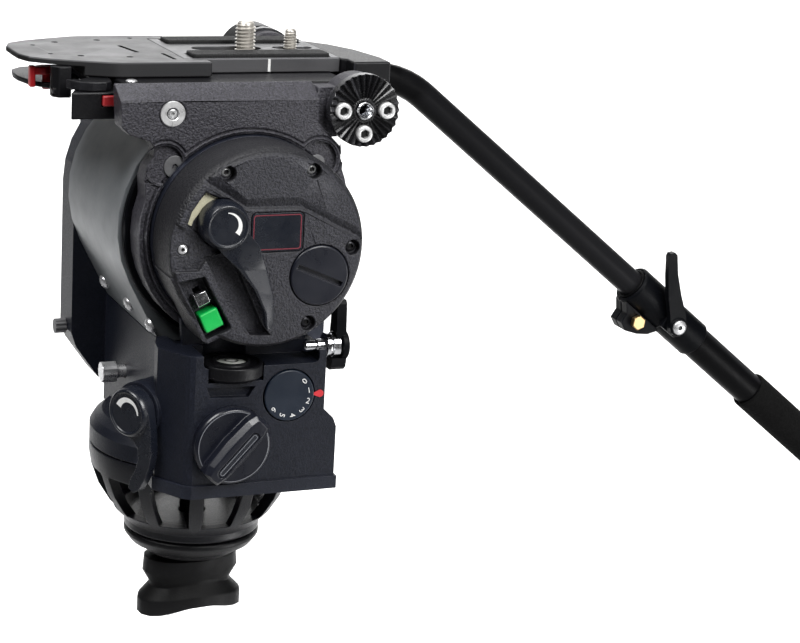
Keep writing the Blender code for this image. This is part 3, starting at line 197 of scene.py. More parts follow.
def combine(ob, others, op):
    for o in others:
        m = ob.modifiers.new("b", 'BOOLEAN')
        m.operation = op
        m.solver = 'EXACT'
        m.object = o
        dg = bpy.context.evaluated_depsgraph_get()
        me = bpy.data.meshes.new_from_object(ob.evaluated_get(dg))
        ob.modifiers.remove(m)
        old = ob.data
        ob.data = me
        bpy.data.meshes.remove(old)
        bpy.data.objects.remove(o, do_unlink=True)
    bm = bmesh.new()
    bm.from_mesh(ob.data)
    bmesh.ops.remove_doubles(bm, verts=bm.verts, dist=0.00002)
    bmesh.ops.dissolve_limit(bm, angle_limit=math.radians(0.4), verts=bm.verts, edges=bm.edges)
    bm.to_mesh(ob.data)
    bm.free()
    shade(ob)
    return ob


def cut(ob, *others):
    return combine(ob, others, 'DIFFERENCE')


def fuse(ob, *others):
    return combine(ob, others, 'UNION')


def pivot(ob, p):
    v = Vector(p) * MM
    ob.data.transform(Matrix.Translation(-v))
    ob.location = v
    return ob


def arc(cx, cy, r, a0, a1, n):
    return [(cx + r * math.cos(math.radians(a0 + (a1 - a0) * i / n)),
             cy + r * math.sin(math.radians(a0 + (a1 - a0) * i / n))) for i in range(n + 1)]


def rrect(x0, x1, y0, y1, r, n=2):
    return (arc(x1 - r, y1 - r, r, 0, 90, n) + arc(x0 + r, y1 - r, r, 90, 180, n)
            + arc(x0 + r, y0 + r, r, 180, 270, n) + arc(x1 - r, y0 + r, r, 270, 360, n))


def socket_screw(name, fn, r_head, h_head, r_shank, l_shank, hexr, mat="steel", button=False, slot=False):
    # head above h=0, shank below
    if button:
        prof = [(0, h_head)] + [(r_head * math.sin(math.radians(t)), h_head * math.cos(math.radians(t)))
                                for t in (20, 40, 60, 78)] + [(r_head, 0.0)]
    else:
        prof = [(0, h_head), (r_head - 0.4, h_head), (r_head, h_head - 0.4), (r_head, 0)]
    prof += [(r_shank, 0), (r_shank, -l_shank + 0.4), (r_shank - 0.4, -l_shank), (0, -l_shank)]
    ob = lathe(name, prof, fn, mat, 28)
    if slot:
        c = prism("c", [(-hexr, -0.7), (hexr, -0.7), (hexr, 0.7), (-hexr, 0.7)], fn, h_head - 1.4, h_head + 1)
    else:
        c = prism("c", [(hexr * math.cos(math.radians(60 * k + 30)), hexr * math.sin(math.radians(60 * k + 30)))
                        for k in range(6)], fn, h_head - 1.8, h_head + 1)
    return cut(ob, c)


def T(x, z, y=0.0):
    """frame along -Y with its origin on the tilt axis plane: h grows towards the viewer side (-Y)."""
    return about((x, y, z), (1, 0, 0), (0, 0, 1), (0, -1, 0))


def F(x, z, y=0.0):
    """frame along +Y."""
    return about((x, y, z), (1, 0, 0), (0, 0, 1), (0, 1, 0))


def Zf(x, y, z=0.0):
    return about((x, y, z), (1, 0, 0), (0, 1, 0), (0, 0, 1))


def Xf(y, z, x=0.0):
    return about((x, y, z), (0, 1, 0), (0, 0, 1), (1, 0, 0))


# ================================================================= half ball
def sphere_r(z):
    return math.sqrt(BALL_R ** 2 - z ** 2)


def half_ball():
    outer = [(sphere_r(z), z) for z in (-38.0, -31, -22, -12, -5)]
    prof = [(6.4, -42.4), (31.4, -42.4), (32.3, -41.6), (32.3, -38.6)] + outer
    prof += [(49.6, -0.7), (9.4, -0.7), (9.4, -7.0)]
    prof += [(40.0, -7.0), (42.5, -9.0)]
    prof += [(sphere_r(z) - 6.0, z) for z in (-16, -26)]
    prof += [(31.0, -33.5), (29.0, -36.0), (6.4, -36.0)]
    ob = lathe("half_ball", prof, ax_z, "cast_black", 96)
    cutters = []
    n = 12
    for k in range(n):
        a = math.radians(-90.6 + 30 * k)
        u = (math.cos(a), math.sin(a), 0)
        v = (-math.sin(a), math.cos(a), 0)
        # window between two ribs, tapering towards the bottom
        w = about((0, 0, 0), v, (0, 0, 1), u)
        pts = [(-7.0, -32.5), (7.0, -32.5), (9.4, -12.5), (8.4, -11.2), (-8.4, -11.2), (-9.4, -12.5)]
        cutters.append(prism("w", pts, w, 25, 56))
    return cut(ob, *cutters)


half_ball()
lathe("pan_spindle", [(0, -16), (9.0, -16), (9.0, 14.0), (13.0, 14.0), (13.0, 17.0), (9.0, 17.0), (9.0, 46), (8, 47), (0, 47)],
      ax_z, "steel", 40)
lathe("clamp_stud", [(0, -16.4), (6.0, -16.4), (6.0, -76.0), (5, -77.0), (0, -77.0)], ax_z, "steel", 32)

# ================================================================= bowl clamp
lathe("clamp_disc", [(6.4, -43.0), (31.6, -43.0), (32.3, -43.8), (32.3, -45.4), (29.5, -49.2), (24.5, -52.2),
                     (21.6, -53.6), (21.6, -54.6), (6.4, -54.6)], ax_z, "cast_black", 72)


def clamp_handle():
    bm = bmesh.new()
    seg = 32
    # radius and height at the waist of the two-winged outline, then at its tips
    prof = [(6.4, 6.4, -54.9, -54.9), (12.0, 13.0, -54.9, -54.9), (14.6, 23.4, -58.0, -57.6), (14.6, 24.0, -64.6, -64.6),
            (13.2, 20.6, -68.0, -70.6), (13.2, 20.6, -70.4, -72.4), (15.4, 25.4, -75.6, -77.4), (15.6, 26.2, -76.6, -79.0),
            (15.6, 26.2, -81.0, -85.6), (14.4, 24.8, -81.6, -86.4), (11.0, 11.0, -81.8, -81.8), (0, 0, -81.8, -81.8), (0, 0, -78.0, -78.0), (6.4, 6.4, -78.0, -78.0)]
    rings = []
    for rc, rt, zc, zt in prof:
        if rt < 1e-6:
            rings.append([bm.verts.new(Vector((0, 0, zc)) * MM)])
            continue
        row = []
        for k in range(seg):
            t = 2 * math.pi * k / seg
            w = (0.5 + 0.5 * math.cos(2 * (t - WING_A))) ** 1.5
            rr, z = rc + (rt - rc) * w, zc + (zt - zc) * w
            row.append(bm.verts.new(Vector((rr * math.cos(t), rr * math.sin(t), z)) * MM))
        rings.append(row)
    for i in range(len(rings)):
        A, B = rings[i], rings[(i + 1) % len(rings)]
        if len(A) == 1 and len(B) == 1:
            continue
        for k in range(seg):
            l = (k + 1) % seg
            if len(A) == 1:
                bm.faces.new([A[0], B[k], B[l]])
            elif len(B) == 1:
                bm.faces.new([A[k], B[0], A[l]])
            else:
                bm.faces.new([A[k], B[k], B[l], A[l]])
    return finish(bm, "clamp_handle", "plastic_black")


clamp_handle()

# ================================================================= pan body
def housing_outline(off=0.0):
    r = DRUM_R + off
    t0 = 207.5                               # tangent angle of the front sheet
    pts = arc(0, TILT_Z, r, t0, 360 + 180 - t0 - 360, 20)
    # the tangents run down to the foot of the housing
    zf = 62.5 - off
    def tangent_x(sgn):
        a = math.radians(t0)
        px, pz = r * math.cos(a), TILT_Z + r * math.sin(a)
        dx, dz = -math.sin(a), math.cos(a)     # direction of the tangent, dz<0 wanted
        if dz > 0:
            dx, dz = -dx, -dz
        s = (zf - pz) / dz
        return -(px + dx * s) if sgn > 0 else (px + dx * s)
    xr = tangent_x(1)
    xl = tangent_x(-1)
    xc = math.sqrt(r * r - (TILT_Z - zf) ** 2)
    ac = math.degrees(math.atan2(-(TILT_Z - zf), xc))
    low = arc(0, TILT_Z, r, ac, -180 - ac, 7)
    return pts + [(xr, zf)] + low + [(xl, zf)]


FACET = math.radians(30.0)
FN = Vector((-math.cos(FACET), -math.sin(FACET), 0))       # outward normal of the front left facet
FT = Vector((-math.sin(FACET), math.cos(FACET), 0))        # runs along the facet, away from the corner
CORNER = Vector((-31.0, FACE_Y, 0))
HUB = Vector((-44.0, -59.0, 36.0))
# the hub centre projected onto the facet plane
HUB = HUB - FN * ((HUB - CORNER).dot(FN))
DIAL = (15.0, 46.0)
KNOB = (-11.5, 25.5)
GEAR_D = math.hypot(DIAL[0] - KNOB[0], DIAL[1] - KNOB[1])
T_KNOB, T_DIAL = 26, 14
MODULE = 2 * GEAR_D / (T_KNOB + T_DIAL)


def pan_base():
    # round skirt that sits on the half ball
    ob = lathe("pan_base", [(9.4, 0.0), (49.2, 0.0), (49.6, 0.4), (49.6, 8.0), (47.5, 11.5), (44.0, 14.5), (30, 15), (9.4, 15)],
               ax_z, "cast_charcoal", 96)
    # control block: plan outline with the front left facet
    b = CORNER + FT * 19.4
    pts = [(32.0, FACE_Y), (CORNER.x + 2.5, FACE_Y), (CORNER.x + 0.3, FACE_Y + 1.0), (CORNER.x - 1.2, FACE_Y + 2.6), (b.x, b.y), (-39.6, -60.0), (-35.0, -48.0), (-34.0, -30.0), (32.0, -30.0)]
    blk = prism("blk", pts, ax_z, 1.2, 66.2, None)
    # wider foot at the rear side of the block
    foot = prism("foot", [(20, 1.2), (37.6, 1.2), (38.2, 6.0), (38.2, 30.0), (36.6, 34.0), (32.0, 38.5), (20, 42)],
                 ax_y, FACE_Y, -30.0, None)
    # base flange lip around the bottom of the block
    lip = prism("lip", [(39.2, FACE_Y - 1.0), (CORNER.x + 1.9, FACE_Y - 1.0), (CORNER.x - 2.0, FACE_Y + 2.0), (b.x - 1, b.y - 0.2), (-40.5, -52), (-36, -30), (39.2, -30)],
                ax_z, 1.0, 7.0, None)
    neck = prism("neck", [(-34, 10), (34, 10), (34, 70.5), (-34, 70.5)], ax_y, -48.0, 38.5, None)
    # carrier disc behind the side cover, and the pier under it
    disc = cyl("disc", T(0, TILT_Z), COVER_R0, 60.8, 66.0, None, 72)
    pier = prism("pier", [(-28, 58), (28, 58), (30, 78), (-30, 78)], ax_y, -66.0, -63.4, None)
    ob = fuse(ob, blk, foot, lip, neck, disc, pier)
    # far arm
    arm = prism("arm", [(-50.8, 44.0), (-48.4, 37.0), (-45.2, 32.4), (-37.3, 21.4), (-32.4, 18.8), (-25.0, 17.6), (-25.0, 9.0), (25.0, 9.0), (25.0, 17.6), (32.4, 18.8), (37.3, 21.4), (45.2, 32.4), (48.4, 37.0), (50.8, 44.0)]
                + arc(0, TILT_Z, 50.8, 0, 180, 16), ax_y, ARM_Y0, ARM_Y1, None)
    under = prism("under", [(-24, 0.5), (24, 0.5), (24, 12), (-24, 12)], ax_y, 36.0, 54.0, None)
    ob = fuse(ob, arm, under)
    # trough of the drum housing, then the room in which the near cheek swings
    hc = prism("hc", housing_outline(GAP), ax_y, -50.5, ARM_Y0 - 0.02)
    sweep = lathe("sw", [(0, 50.25), (57.8, 50.25), (57.8, 63.35), (COVER_R0, 63.35), (COVER_R0, 60.8), (0, 60.8)], T(0, TILT_Z), None, 96)
    cover = cyl("cv", T(0, TILT_Z), COVER_R0 + 0.35, 66.0, 96.0, None, 72)
    ob = cut(ob, hc, sweep, cover)
    # bubble pocket under the side cover
    pocket = prism("pk", rrect(-25.0, 28.6, 60.4, 74.0, 2.0), ax_y, FACE_Y - 3, -67.5)
    cupb = cyl("cb", Zf(-10.0, -78.0), 14.5, 53.7, 75.0)
    slot = prism("sl", [(-23.1, 51.6), (-21.4, 47.0), (-4.0, 46.4), (-0.9, 51.2)], ax_y, FACE_Y - 3, FACE_Y + 3.0)
    # bores: dial, knob, gears behind them
    rd, rk = MODULE * T_DIAL / 2 + 1.55, MODULE * T_KNOB / 2 + 1.55
    dial = lathe("db", [(0, 67.2), (rd, 67.2), (rd, 71.4), (3.4, 71.4), (3.4, 82.5), (12.2, 82.5), (12.2, 90.0), (0, 90.0)], T(DIAL[0], DIAL[1]), None, 48)
    knob = lathe("kb", [(0, 67.13), (rk, 67.13), (rk, 71.47), (4.4, 71.47), (4.4, 92.0), (0, 92.0)], T(KNOB[0], KNOB[1]), None, 56, 0.03)
    # bore of the tilt shaft in the far arm and through the carrier disc
    sb = cyl("sb", F(0, TILT_Z), SHAFT_R + 0.4, -72.0, 62.0, None, 40)
    # spindle bore and pan drag chamber, open at the bottom
    sp = lathe("sp", [(0, -2.0), (9.4, -2.0), (9.4, 13.6), (30.4, 13.6), (30.4, 40.6), (13.4, 40.6), (13.4, 47.4), (0, 47.4)], ax_z, None, 56)
    ob = cut(ob, pocket, cupb, slot, dial, knob, sb, sp)
    # pan lock boss on the facet and its bore
    hub = about(HUB, tuple(FT), (0, 0, 1), tuple(FN))
    boss = cyl("boss", hub, 12.6, -20.0, 1.6, None, 40)
    hb = cyl("hb", hub, 4.6, -16.0, 4.0, None, 32)
    ob = fuse(ob, boss)
    # cross bores of the rear lever shaft, the front stud and the arm screw
    rl = cyl("rl", Xf(-80.0, 66.6), 3.6, 26.0, 40.0, None, 24)
    fs = cyl("fs", Xf(4.0, 34.0), 3.4, -46.0, -31.4, None, 24)
    ak = cyl("ak", Xf(48.0, 45.0), 2.4, -60.0, -40.0, None, 24)
    ob = cut(ob, hb, rl, fs, ak)
    return ob


pan_base()


def drum_housing():
    ob = prism("drum_housing", housing_outline(), ax_y, DRUM_Y0, DRUM_Y1, "drum_grey")
    inner = cyl("in", F(0, TILT_Z), 47.5, DRUM_Y0 - 1, 30.5, None, 64)
    sb = cyl("sb", F(0, TILT_Z), 18.3, 25.0, 45.0, None, 48)
    return cut(ob, inner, sb)


drum_housing()
lathe("drum_flange", [(18.3, 46.6), (FLANGE_R - 0.6, 46.6), (FLANGE_R, 47.2), (FLANGE_R, 49.6), (FLANGE_R - 0.6, 50.2), (18.3, 50.2)],
      T(0, TILT_Z), "plastic_black", 96)


# ================================================================= side cover
def loft(name, loops, mat=None):
    """closed body through loops of equal length, each a list of (x, y, z) in millimetres."""
    bm = bmesh.new()
    rows = [[bm.verts.new(Vector(p) * MM) for p in lp] for lp in loops]
    n = len(rows[0])
    bm.faces.new(rows[0])
    bm.faces.new(rows[-1])
    for a, b in zip(rows[:-1], rows[1:]):
        for i in range(n):
            j = (i + 1) % n
            bm.faces.new([a[i], a[j], b[j], b[i]])
    return finish(bm, name, mat)


COV = T(0, TILT_Z)
CELL = (23.4, -12.4)
TLOCK = (-21.7, 12.4)
SW_A = math.radians(-65.15)                     # run of the light switch slot
SW = about((-26.5, 0.0, TILT_Z - 25.95), (math.cos(SW_A), 0, math.sin(SW_A)),
           (-math.sin(SW_A), 0, math.cos(SW_A)), (0, -1, 0))


def side_cover():
    ob = lathe("side_cover", [(0, 66.3), (43.4, 66.3), (COVER_R0, 66.9), (COVER_R0, 88.6), (43.6, 91.0), (42.2, 92.7), (40.6, 93.2), (0, 93.2)],
               COV, "cast_charcoal", 96)
    # raised segment above the ridge line
    low = [(-26.9, 28.8), (-11.4, 18.8), (13.9, 18.4), (42.6, 3.1)]
    up = [(-25.6, 33.1), (-11.4, 22.8), (12.0, 22.9), (40.3, 8.4)]
    lo = low + arc(0, 0, 42.7, 6.0, 131.0, 12)
    hi = up + arc(0, 0, 41.2, 13.0, 126.5, 12)
    seg = loft("seg", [[COV(a, b, 92.0) for a, b in lo], [COV(a, b, 93.1) for a, b in lo], [COV(a, b, 94.4) for a, b in hi]])
    # raised frame of the light switch
    boss = prism("sb", [(-16.5, 6.2), (-20.0, -9.0), (-3.2, -7.9), (12.4, -7.1), (14.2, -5.6), (14.2, 6.6), (12.6, 8.0)], SW, 66.9, 91.0)
    ob = fuse(ob, seg, boss)
    cell = lathe("c", [(0, 75.6), (12.6, 75.6), (12.6, 81.0), (13.7, 81.0), (13.7, 96.0), (0, 96.0)], shifted(COV, (CELL[0], 0, CELL[1])), None, 56)
    hubr = lathe("c", [(0, 79.6), (4.4, 79.6), (4.4, 90.6), (10.9, 90.6), (10.9, 96.0), (0, 96.0)], shifted(COV, (TLOCK[0], 0, TLOCK[1])), None, 48)
    step = prism("c", [(-48, 15), (-37.6, 10.4), (-29.2, 20.8), (-24.0, 12.3), (-21.0, 0.2), (-28.1, -3.4), (-31.3, -8.3), (-48, -8.3)], COV, 90.8, 96.5)
    label = prism("c", rrect(-8.7, 15.3, -1.3, 16.3, 1.8), COV, 91.9, 96.0)
    finger = prism("c", [(-28.7, -2.6), (-21.2, -1.2), (-15.2, -5), (-1.8, -33.5), (2.0, -38.2), (-7.1, -37.7), (-19.1, -21.5)], COV, 88.6, 97.0, None, 0.0)
    pocket = prism("c", [(-14.6, 4.4), (-17.6, -6.8), (-2.7, -5.9), (12.2, -5.2), (12.2, 5.6), (10.9, 6.2)], SW, 86.0, 96.0)
    sslot = prism("c", [(-9.6, -1.4), (-1.6, -1.4), (-1.6, 1.4), (-9.6, 1.4)], SW, 80.5, 87.0)
    bbore = prism("c", [(0.6, -4.6), (9.9, -4.6), (9.9, 4.6), (0.6, 4.6)], SW, 82.2, 87.0)
    shaft = cyl("c", COV, SHAFT_R + 0.4, 60.0, 70.3, None, 40)
    cuts = [cell, hubr, step, label, finger, pocket, sslot, bbore, shaft]
    for a, b, r in ((-19.9, 33.8, 3.3), (18.7, 34.0, 3.3), (38.4, -0.6, 3.3), (19.3, -33.8, 3.3), (-38.0, 0.9, 2.4)):
        cuts.append(cyl("c", shifted(COV, (a, 0, b)), r, 89.6, 96.0, None, 24))
    return cut(ob, *cuts)


side_cover()
prism("label_plate", rrect(-8.4, 15.0, -1.0, 16.0, 1.5), COV, 92.2, 93.0, "dial_navy", 0.15)
cyl("button_cell", shifted(COV, (CELL[0], 0, CELL[1])), 12.25, 75.9, 80.7, "steel", 48, 0.4)


def battery_cap():
    f = shifted(COV, (CELL[0], 0, CELL[1]))
    ob = lathe("battery_cap", [(0, 81.3), (13.4, 81.3), (13.4, 93.3), (12.9, 93.9), (0, 93.9)], f, "plastic_black", 64)
    a = math.atan2(-16.9 + 8, 33.8 - 13)
    g = about(f(0, 0, 0), (math.cos(a), 0, math.sin(a)), (-math.sin(a), 0, math.cos(a)), (0, -1, 0))
    s = prism("s", [(-11.2, -1.1), (11.2, -1.1), (11.2, 1.1), (-11.2, 1.1)], g, 91.9, 96.0)
    return pivot(cut(ob, s), (CELL[0], -87.0, TILT_Z + CELL[1]))


battery_cap()


def tilt_lock_lever():
    f = shifted(COV, (TLOCK[0], 0, TLOCK[1]))
    hub = lathe("tilt_lock_lever", [(0, 80.2), (4.1, 80.2), (4.1, 90.9), (10.5, 90.9), (10.5, 97.2), (9.9, 99.6), (9.3, 101.2), (8.6, 101.5), (8.2, 100.9), (0, 100.9)],
                f, "plastic_black", 56)
    right = [(-11.9, 9.3), (-6.6, 3.3), (-2.2, -7.8), (1.3, -19.7), (2.1, -27.5), (1.9, -32.2)]
    left = [(-28.0, 6.6), (-23.0, 0.4), (-15.1, -7.2), (-8.1, -15.9), (-3.1, -25.9), (-2.2, -31.8)]
    out = [(-19.0, 16.0)] + [(-12.2, 14.0)] + right + [(0.3, -34.2), (-1.6, -33.8)] + left[::-1] + [(-29.6, 12.0), (-27.0, 17.0)]
    blade = prism("bl", out, COV, 94.8, 98.9)
    return pivot(fuse(hub, blade), (TLOCK[0], -95.0, TILT_Z + TLOCK[1]))


tilt_lock_lever()
pivot(prism("green_button", [(0.9, -4.3), (9.6, -4.3), (9.6, 4.3), (0.9, 4.3)], SW, 83.6, 91.6, "green_plastic", 0.5, 1), SW(5.25, 0, 90.0))


def light_slider():
    a = prism("light_slider", [(-8.4, -3.1), (-2.2, -3.1), (-2.2, 3.1), (-8.4, 3.1)], SW, 86.4, 90.9, "steel", 0.6, 2)
    b = prism("b", [(-6.6, -1.1), (-4.0, -1.1), (-4.0, 1.1), (-6.6, 1.1)], SW, 81.4, 87.0)
    return pivot(fuse(a, b), SW(-5.3, 0, 88.0))


light_slider()

# ================================================================= bubble level
lathe("bubble_cup", [(0, 54.0), (11.5, 54.0), (14.0, 56.0), (14.0, 61.0), (13.6, 61.4), (12.2, 61.4), (11.8, 60.6), (8.6, 60.6), (8.2, 61.4), (7.4, 61.4), (7.3, 56.4), (0, 56.4)],
      Zf(-10.0, -78.0), "cast_black", 56)
lathe("bubble_vial", [(0, 56.7), (7.0, 56.7), (7.0, 60.6), (5.6, 61.1), (3.0, 61.5), (0, 61.6)], Zf(-10.0, -78.0), "vial", 40)

# ================================================================= pan drag control
def gear_profile(teeth, rp, rot):
    add, ded = 0.7 * MODULE, 0.9 * MODULE
    pts = []
    for k in range(teeth):
        c = rot + 2 * math.pi * k / teeth
        w = 2 * math.pi / teeth
        for fr, r in ((-0.27, rp - ded), (-0.08, rp + add), (0.08, rp + add), (0.27, rp - ded)):
            pts.append((r * math.cos(c + fr * w), r * math.sin(c + fr * w)))
    return pts


MESH_A = math.atan2(DIAL[1] - KNOB[1], DIAL[0] - KNOB[0])


def pan_fluid_knob():
    f = T(KNOB[0], KNOB[1])
    gear = prism("pan_fluid_knob", gear_profile(T_KNOB, MODULE * T_KNOB / 2, MESH_A), f, 67.5, 71.0, "plastic_black")
    stem = cyl("st", f, 4.1, 70.0, 86.0, None, 24)
    base = lathe("ba", [(0, 85.4), (17.5, 85.4), (17.5, 88.6), (16.6, 89.8), (0, 89.8)], f, None, 64)
    # bar grip across the knob
    a = math.atan2(35.0 - 9.0, 7.0 + 17.0)
    g = about(f(0, 0, 0), (math.cos(a), 0, math.sin(a)), (-math.sin(a), 0, math.cos(a)), (0, -1, 0))
    side = [(-17.3, -4.2), (-13, -5.6), (0, -6.4), (13, -5.6), (17.3, -4.2), (17.6, 0), (17.3, 4.2), (13, 5.6), (0, 6.4), (-13, 5.6), (-17.3, 4.2), (-17.6, 0)]
    top = [(x * 0.93, y * 0.62) for x, y in side]
    grip = loft("gr", [[g(x, y, 88.0) for x, y in side], [g(x, y, 94.5) for x, y in side], [g(x, y, 97.2) for x, y in top]])
    return pivot(fuse(gear, stem, base, grip), (KNOB[0], FACE_Y, KNOB[1]))


def pan_dial():
    f = T(DIAL[0], DIAL[1])
    gear = prism("pan_dial", gear_profile(T_DIAL, MODULE * T_DIAL / 2, MESH_A + math.pi + math.pi / T_DIAL), f, 67.5, 71.0, "dial_navy")
    stem = cyl("st", f, 3.1, 70.0, 83.5, None, 24)
    disc = lathe("ds", [(0, 82.8), (11.7, 82.8), (11.7, 85.3), (11.3, 85.7), (0, 85.7)], f, None, 64)
    return pivot(fuse(gear, stem, disc), (DIAL[0], FACE_Y, DIAL[1]))


pan_fluid_knob()
pan_dial()

# ================================================================= pan lock
PL = about(HUB, tuple(FT), (0, 0, 1), tuple(FN))


def pan_lock_lever():
    hub = lathe("pan_lock_lever", [(0, -15.6), (4.1, -15.6), (4.1, 1.9), (11.2, 1.9), (11.2, 6.4), (10.6, 8.2), (9.9, 8.9), (9.2, 8.9), (8.8, 8.3), (0, 8.3)],
                PL, "plastic_black", 56)
    out = [(7.5, 5.5), (0, 9.0), (-7.4, 6.6), (-11.0, 1.8), (-12.2, -2.0), (-13.1, -7.6), (-13.7, -16.3), (-12.5, -23.2), (-9.9, -29.6), (-6.6, -34.9), (-3.8, -36.6),
           (-0.8, -35.1), (-1.3, -31.4), (-4.6, -25.6), (-6.1, -20.4), (-5.4, -15.2), (-2.4, -12.4), (2.9, -10.2), (7.6, -8.2), (11.0, -4.0), (11.2, 1.0)]
    blade = prism("bl", out, PL, 2.4, 6.9)
    return pivot(fuse(hub, blade), HUB)


pan_lock_lever()

# ================================================================= rear lever
lathe("lock_rod", [(0, 22.4), (1.6, 22.4), (2.4, 23.2), (2.4, 28.4), (3.0, 28.4), (3.0, 32.4), (5.6, 32.4), (5.6, 34.4), (4.9, 34.6), (4.9, 35.2), (5.8, 35.4), (5.8, 38.7), (0, 38.7)],
      Xf(-80.0, 66.6), "steel", 48)


def rear_lever():
    f = Xf(-80.0, 66.6)
    hub = lathe("rear_lever", [(0, 39.0), (6.4, 39.0), (6.9, 39.5), (6.9, 41.8), (6.2, 42.5), (0, 42.5)], f, "plastic_black", 48)
    fin = prism("fn", [(-4.6, 3), (4.4, 3), (3.6, 12), (3.2, 19.6), (1.8, 21.0), (-2.4, 21.0), (-3.6, 19.4), (-4.0, 12)], f, 36.4, 41.2, None)
    fin = cut(fin, cyl("c", f, 6.1, 30.0, 38.9, None, 48))
    cap = prism("cp", [(-5.4, -5.0), (-4.6, -9.0), (-2.6, -10.8), (2.0, -11.0), (4.6, -9.0), (5.4, -5.0)], f, 34.4, 41.4, None)
    cap = cut(cap, cyl("c", f, 6.1, 30.0, 38.9, None, 48))
    return pivot(fuse(hub, fin, cap), (39.0, -80.0, 66.6))


rear_lever()


def knurled(name, f, h0, h1, r, stem_r, h_stem, n=12):
    pts = []
    for k in range(n * 2):
        a = math.pi * k / n
        q = r if k % 2 == 0 else r - 0.5
        pts.append((q * math.cos(a), q * math.sin(a)))
    head = prism(name, pts, f, h0, h1, "steel", 0.0)
    stem = cyl("s", f, stem_r, min(h_stem, h0), max(h_stem, h0) + 0.5, None, 24)
    return fuse(head, stem)


XN = about((0, 4.0, 34.0), (0, 1, 0), (0, 0, 1), (-1, 0, 0))
knurled("front_stud", XN, 38.4, 45.4, 5.0, 3.0, 31.8)
XN2 = about((0, 48.0, 45.0), (0, 1, 0), (0, 0, 1), (-1, 0, 0))
knurled("arm_screw", XN2, 51.1, 56.4, 3.7, 2.0, 40.4)

# ================================================================= inside the drum and the base
cyl("bearing_near", F(0, TILT_Z), 18.0, -50.0, -46.8, "steel", 48, 0.4, SHAFT_R + 0.35)
cyl("bearing_far", F(0, TILT_Z), 18.0, 31.0, 37.0, "steel", 48, 0.4, SHAFT_R + 0.35)


def plates(name, f, r0, r1, h0, h1, n, mat):
    """stack of drag plates on a common sleeve, alternate rims standing proud."""
    prof = [(r0, h0)]
    d = (h1 - h0) / n
    for i in range(n):
        a = h0 + d * i
        r = r1 if i % 2 == 0 else r1 - 2.5
        prof += [(r, a), (r, a + d)]
    prof += [(r0, h1)]
    return lathe(name, prof, f, mat, 56)


plates("tilt_drag_pack", F(0, TILT_Z), SHAFT_R + 0.35, 46.0, -44.0, -10.0, 3, "drum_grey")
plates("pan_drag_pack", ax_z, SHAFT_R + 0.35, 29.6, 17.4, 40.2, 3, "drum_grey")


def spring():
    """counterbalance spring, four turns about the tilt shaft."""
    bm = bmesh.new()
    turns, per, rw, R = 4.0, 11, 2.4, 24.0
    n = int(turns * per)
    rings = []
    for i in range(n + 1):
        t = 2 * math.pi * i / per
        y = -4.0 + (30.0 - 2.0) * i / n
        c = Vector((R * math.cos(t), y, TILT_Z + R * math.sin(t)))
        er = Vector((math.cos(t), 0, math.sin(t)))
        ey = Vector((0, 1, 0))
        rings.append([bm.verts.new((c + er * rw * math.cos(2 * math.pi * k / 5) + ey * rw * math.sin(2 * math.pi * k / 5)) * MM) for k in range(5)])
    for a, b in zip(rings[:-1], rings[1:]):
        for k in range(5):
            l = (k + 1) % 5
            bm.faces.new([a[k], a[l], b[l], b[k]])
    bm.faces.new(rings[0])
    bm.faces.new(rings[-1])
    return finish(bm, "counterbalance_spring", "steel")


spring()

# ================================================================= tilting saddle
def cheek_outline(near=True):
    right = arc(0, 0, 54.0, 21.0, 29.0, 3) + [(43.2, 31.1), (42.6, 37.6), (31.6, 48.5), (31.6, 59.2), (31.6, 65.2)]
    if near:
        left = [(-58.4, 65.2), (-58.4, 59.5), (-57.6, 48.0), (-54.3, 44.8), (-45.4, 42.0), (-42.6, 38.8), (-42.4, 35.2), (-45.4, 30.6), (-47.0, 25.0), (-46.6, 19.0)]
        return left + arc(0, 0, 49.5, 160.0, 378.0, 22) + right
    left = [(-41.0, 65.2), (-41.0, 22.0)]
    return left + arc(0, 0, COVER_R0, 156.0, 374.0, 16) + right


def near_cheek():
    f = T(0, TILT_Z)
    ob = prism("near_cheek", cheek_outline(), f, 50.6, 63.0, "cast_charcoal")
    # lug behind the near rosette and the web that joins it to the cheek
    r = (ROS_X, ROS_Z - TILT_Z)
    lug = cyl("lug", T(ROS_X, ROS_Z), 15.0, 50.6, 62.9, None, 48)
    web = prism("web", [(28, 64.0), (28, 47), (38, 41.5), (52, 42), (52, 64.0)], f, 50.6, 60.0)
    ob = fuse(ob, lug, web)
    # sloping top edge
    wedge = prism("w", [(-63.4, 59.1), (-70.0, 59.1), (-70.0, 75.0), (-48.0, 75.0), (-48.0, 67.3), (-52.0, 65.2)], lambda a, b, h: (h, a, TILT_Z + b), -62.0, 31.8)
    # pocket for the carrier disc
    lobes = cyl("p", f, 45.2, 60.3, 66.0, None, 72)
    l1 = cyl("p", T(-38.3, TILT_Z + 31.8), 9.0, 60.9, 66.0, None, 32)
    l2 = cyl("p", T(32.4, TILT_Z + 32.2), 9.0, 60.9, 66.0, None, 32)
    bore = cyl("p", f, SHAFT_R + 0.35, 48.0, 66.0, None, 40)
    cuts = [wedge, lobes, l1, l2, bore]
    cs = T(-35.3, TILT_Z + 53.7)
    cuts.append(lathe("p", [(0, 56.0), (2.6, 56.0), (2.6, 59.4), (6.0, 62.7), (6.0, 64.0), (0, 64.0)], cs, None, 28))
    for a in (180, 0, 270):
        p = T(ROS_X + 10.3 * math.cos(math.radians(a)), ROS_Z + 10.3 * math.sin(math.radians(a)))
        cuts.append(cyl("p", p, 2.3, 54.6, 64.0, None, 20))
    cuts.append(cyl("p", T(ROS_X, ROS_Z), 4.0, 54.6, 64.0, None, 28))
    return cut(ob, *cuts)


near_cheek()


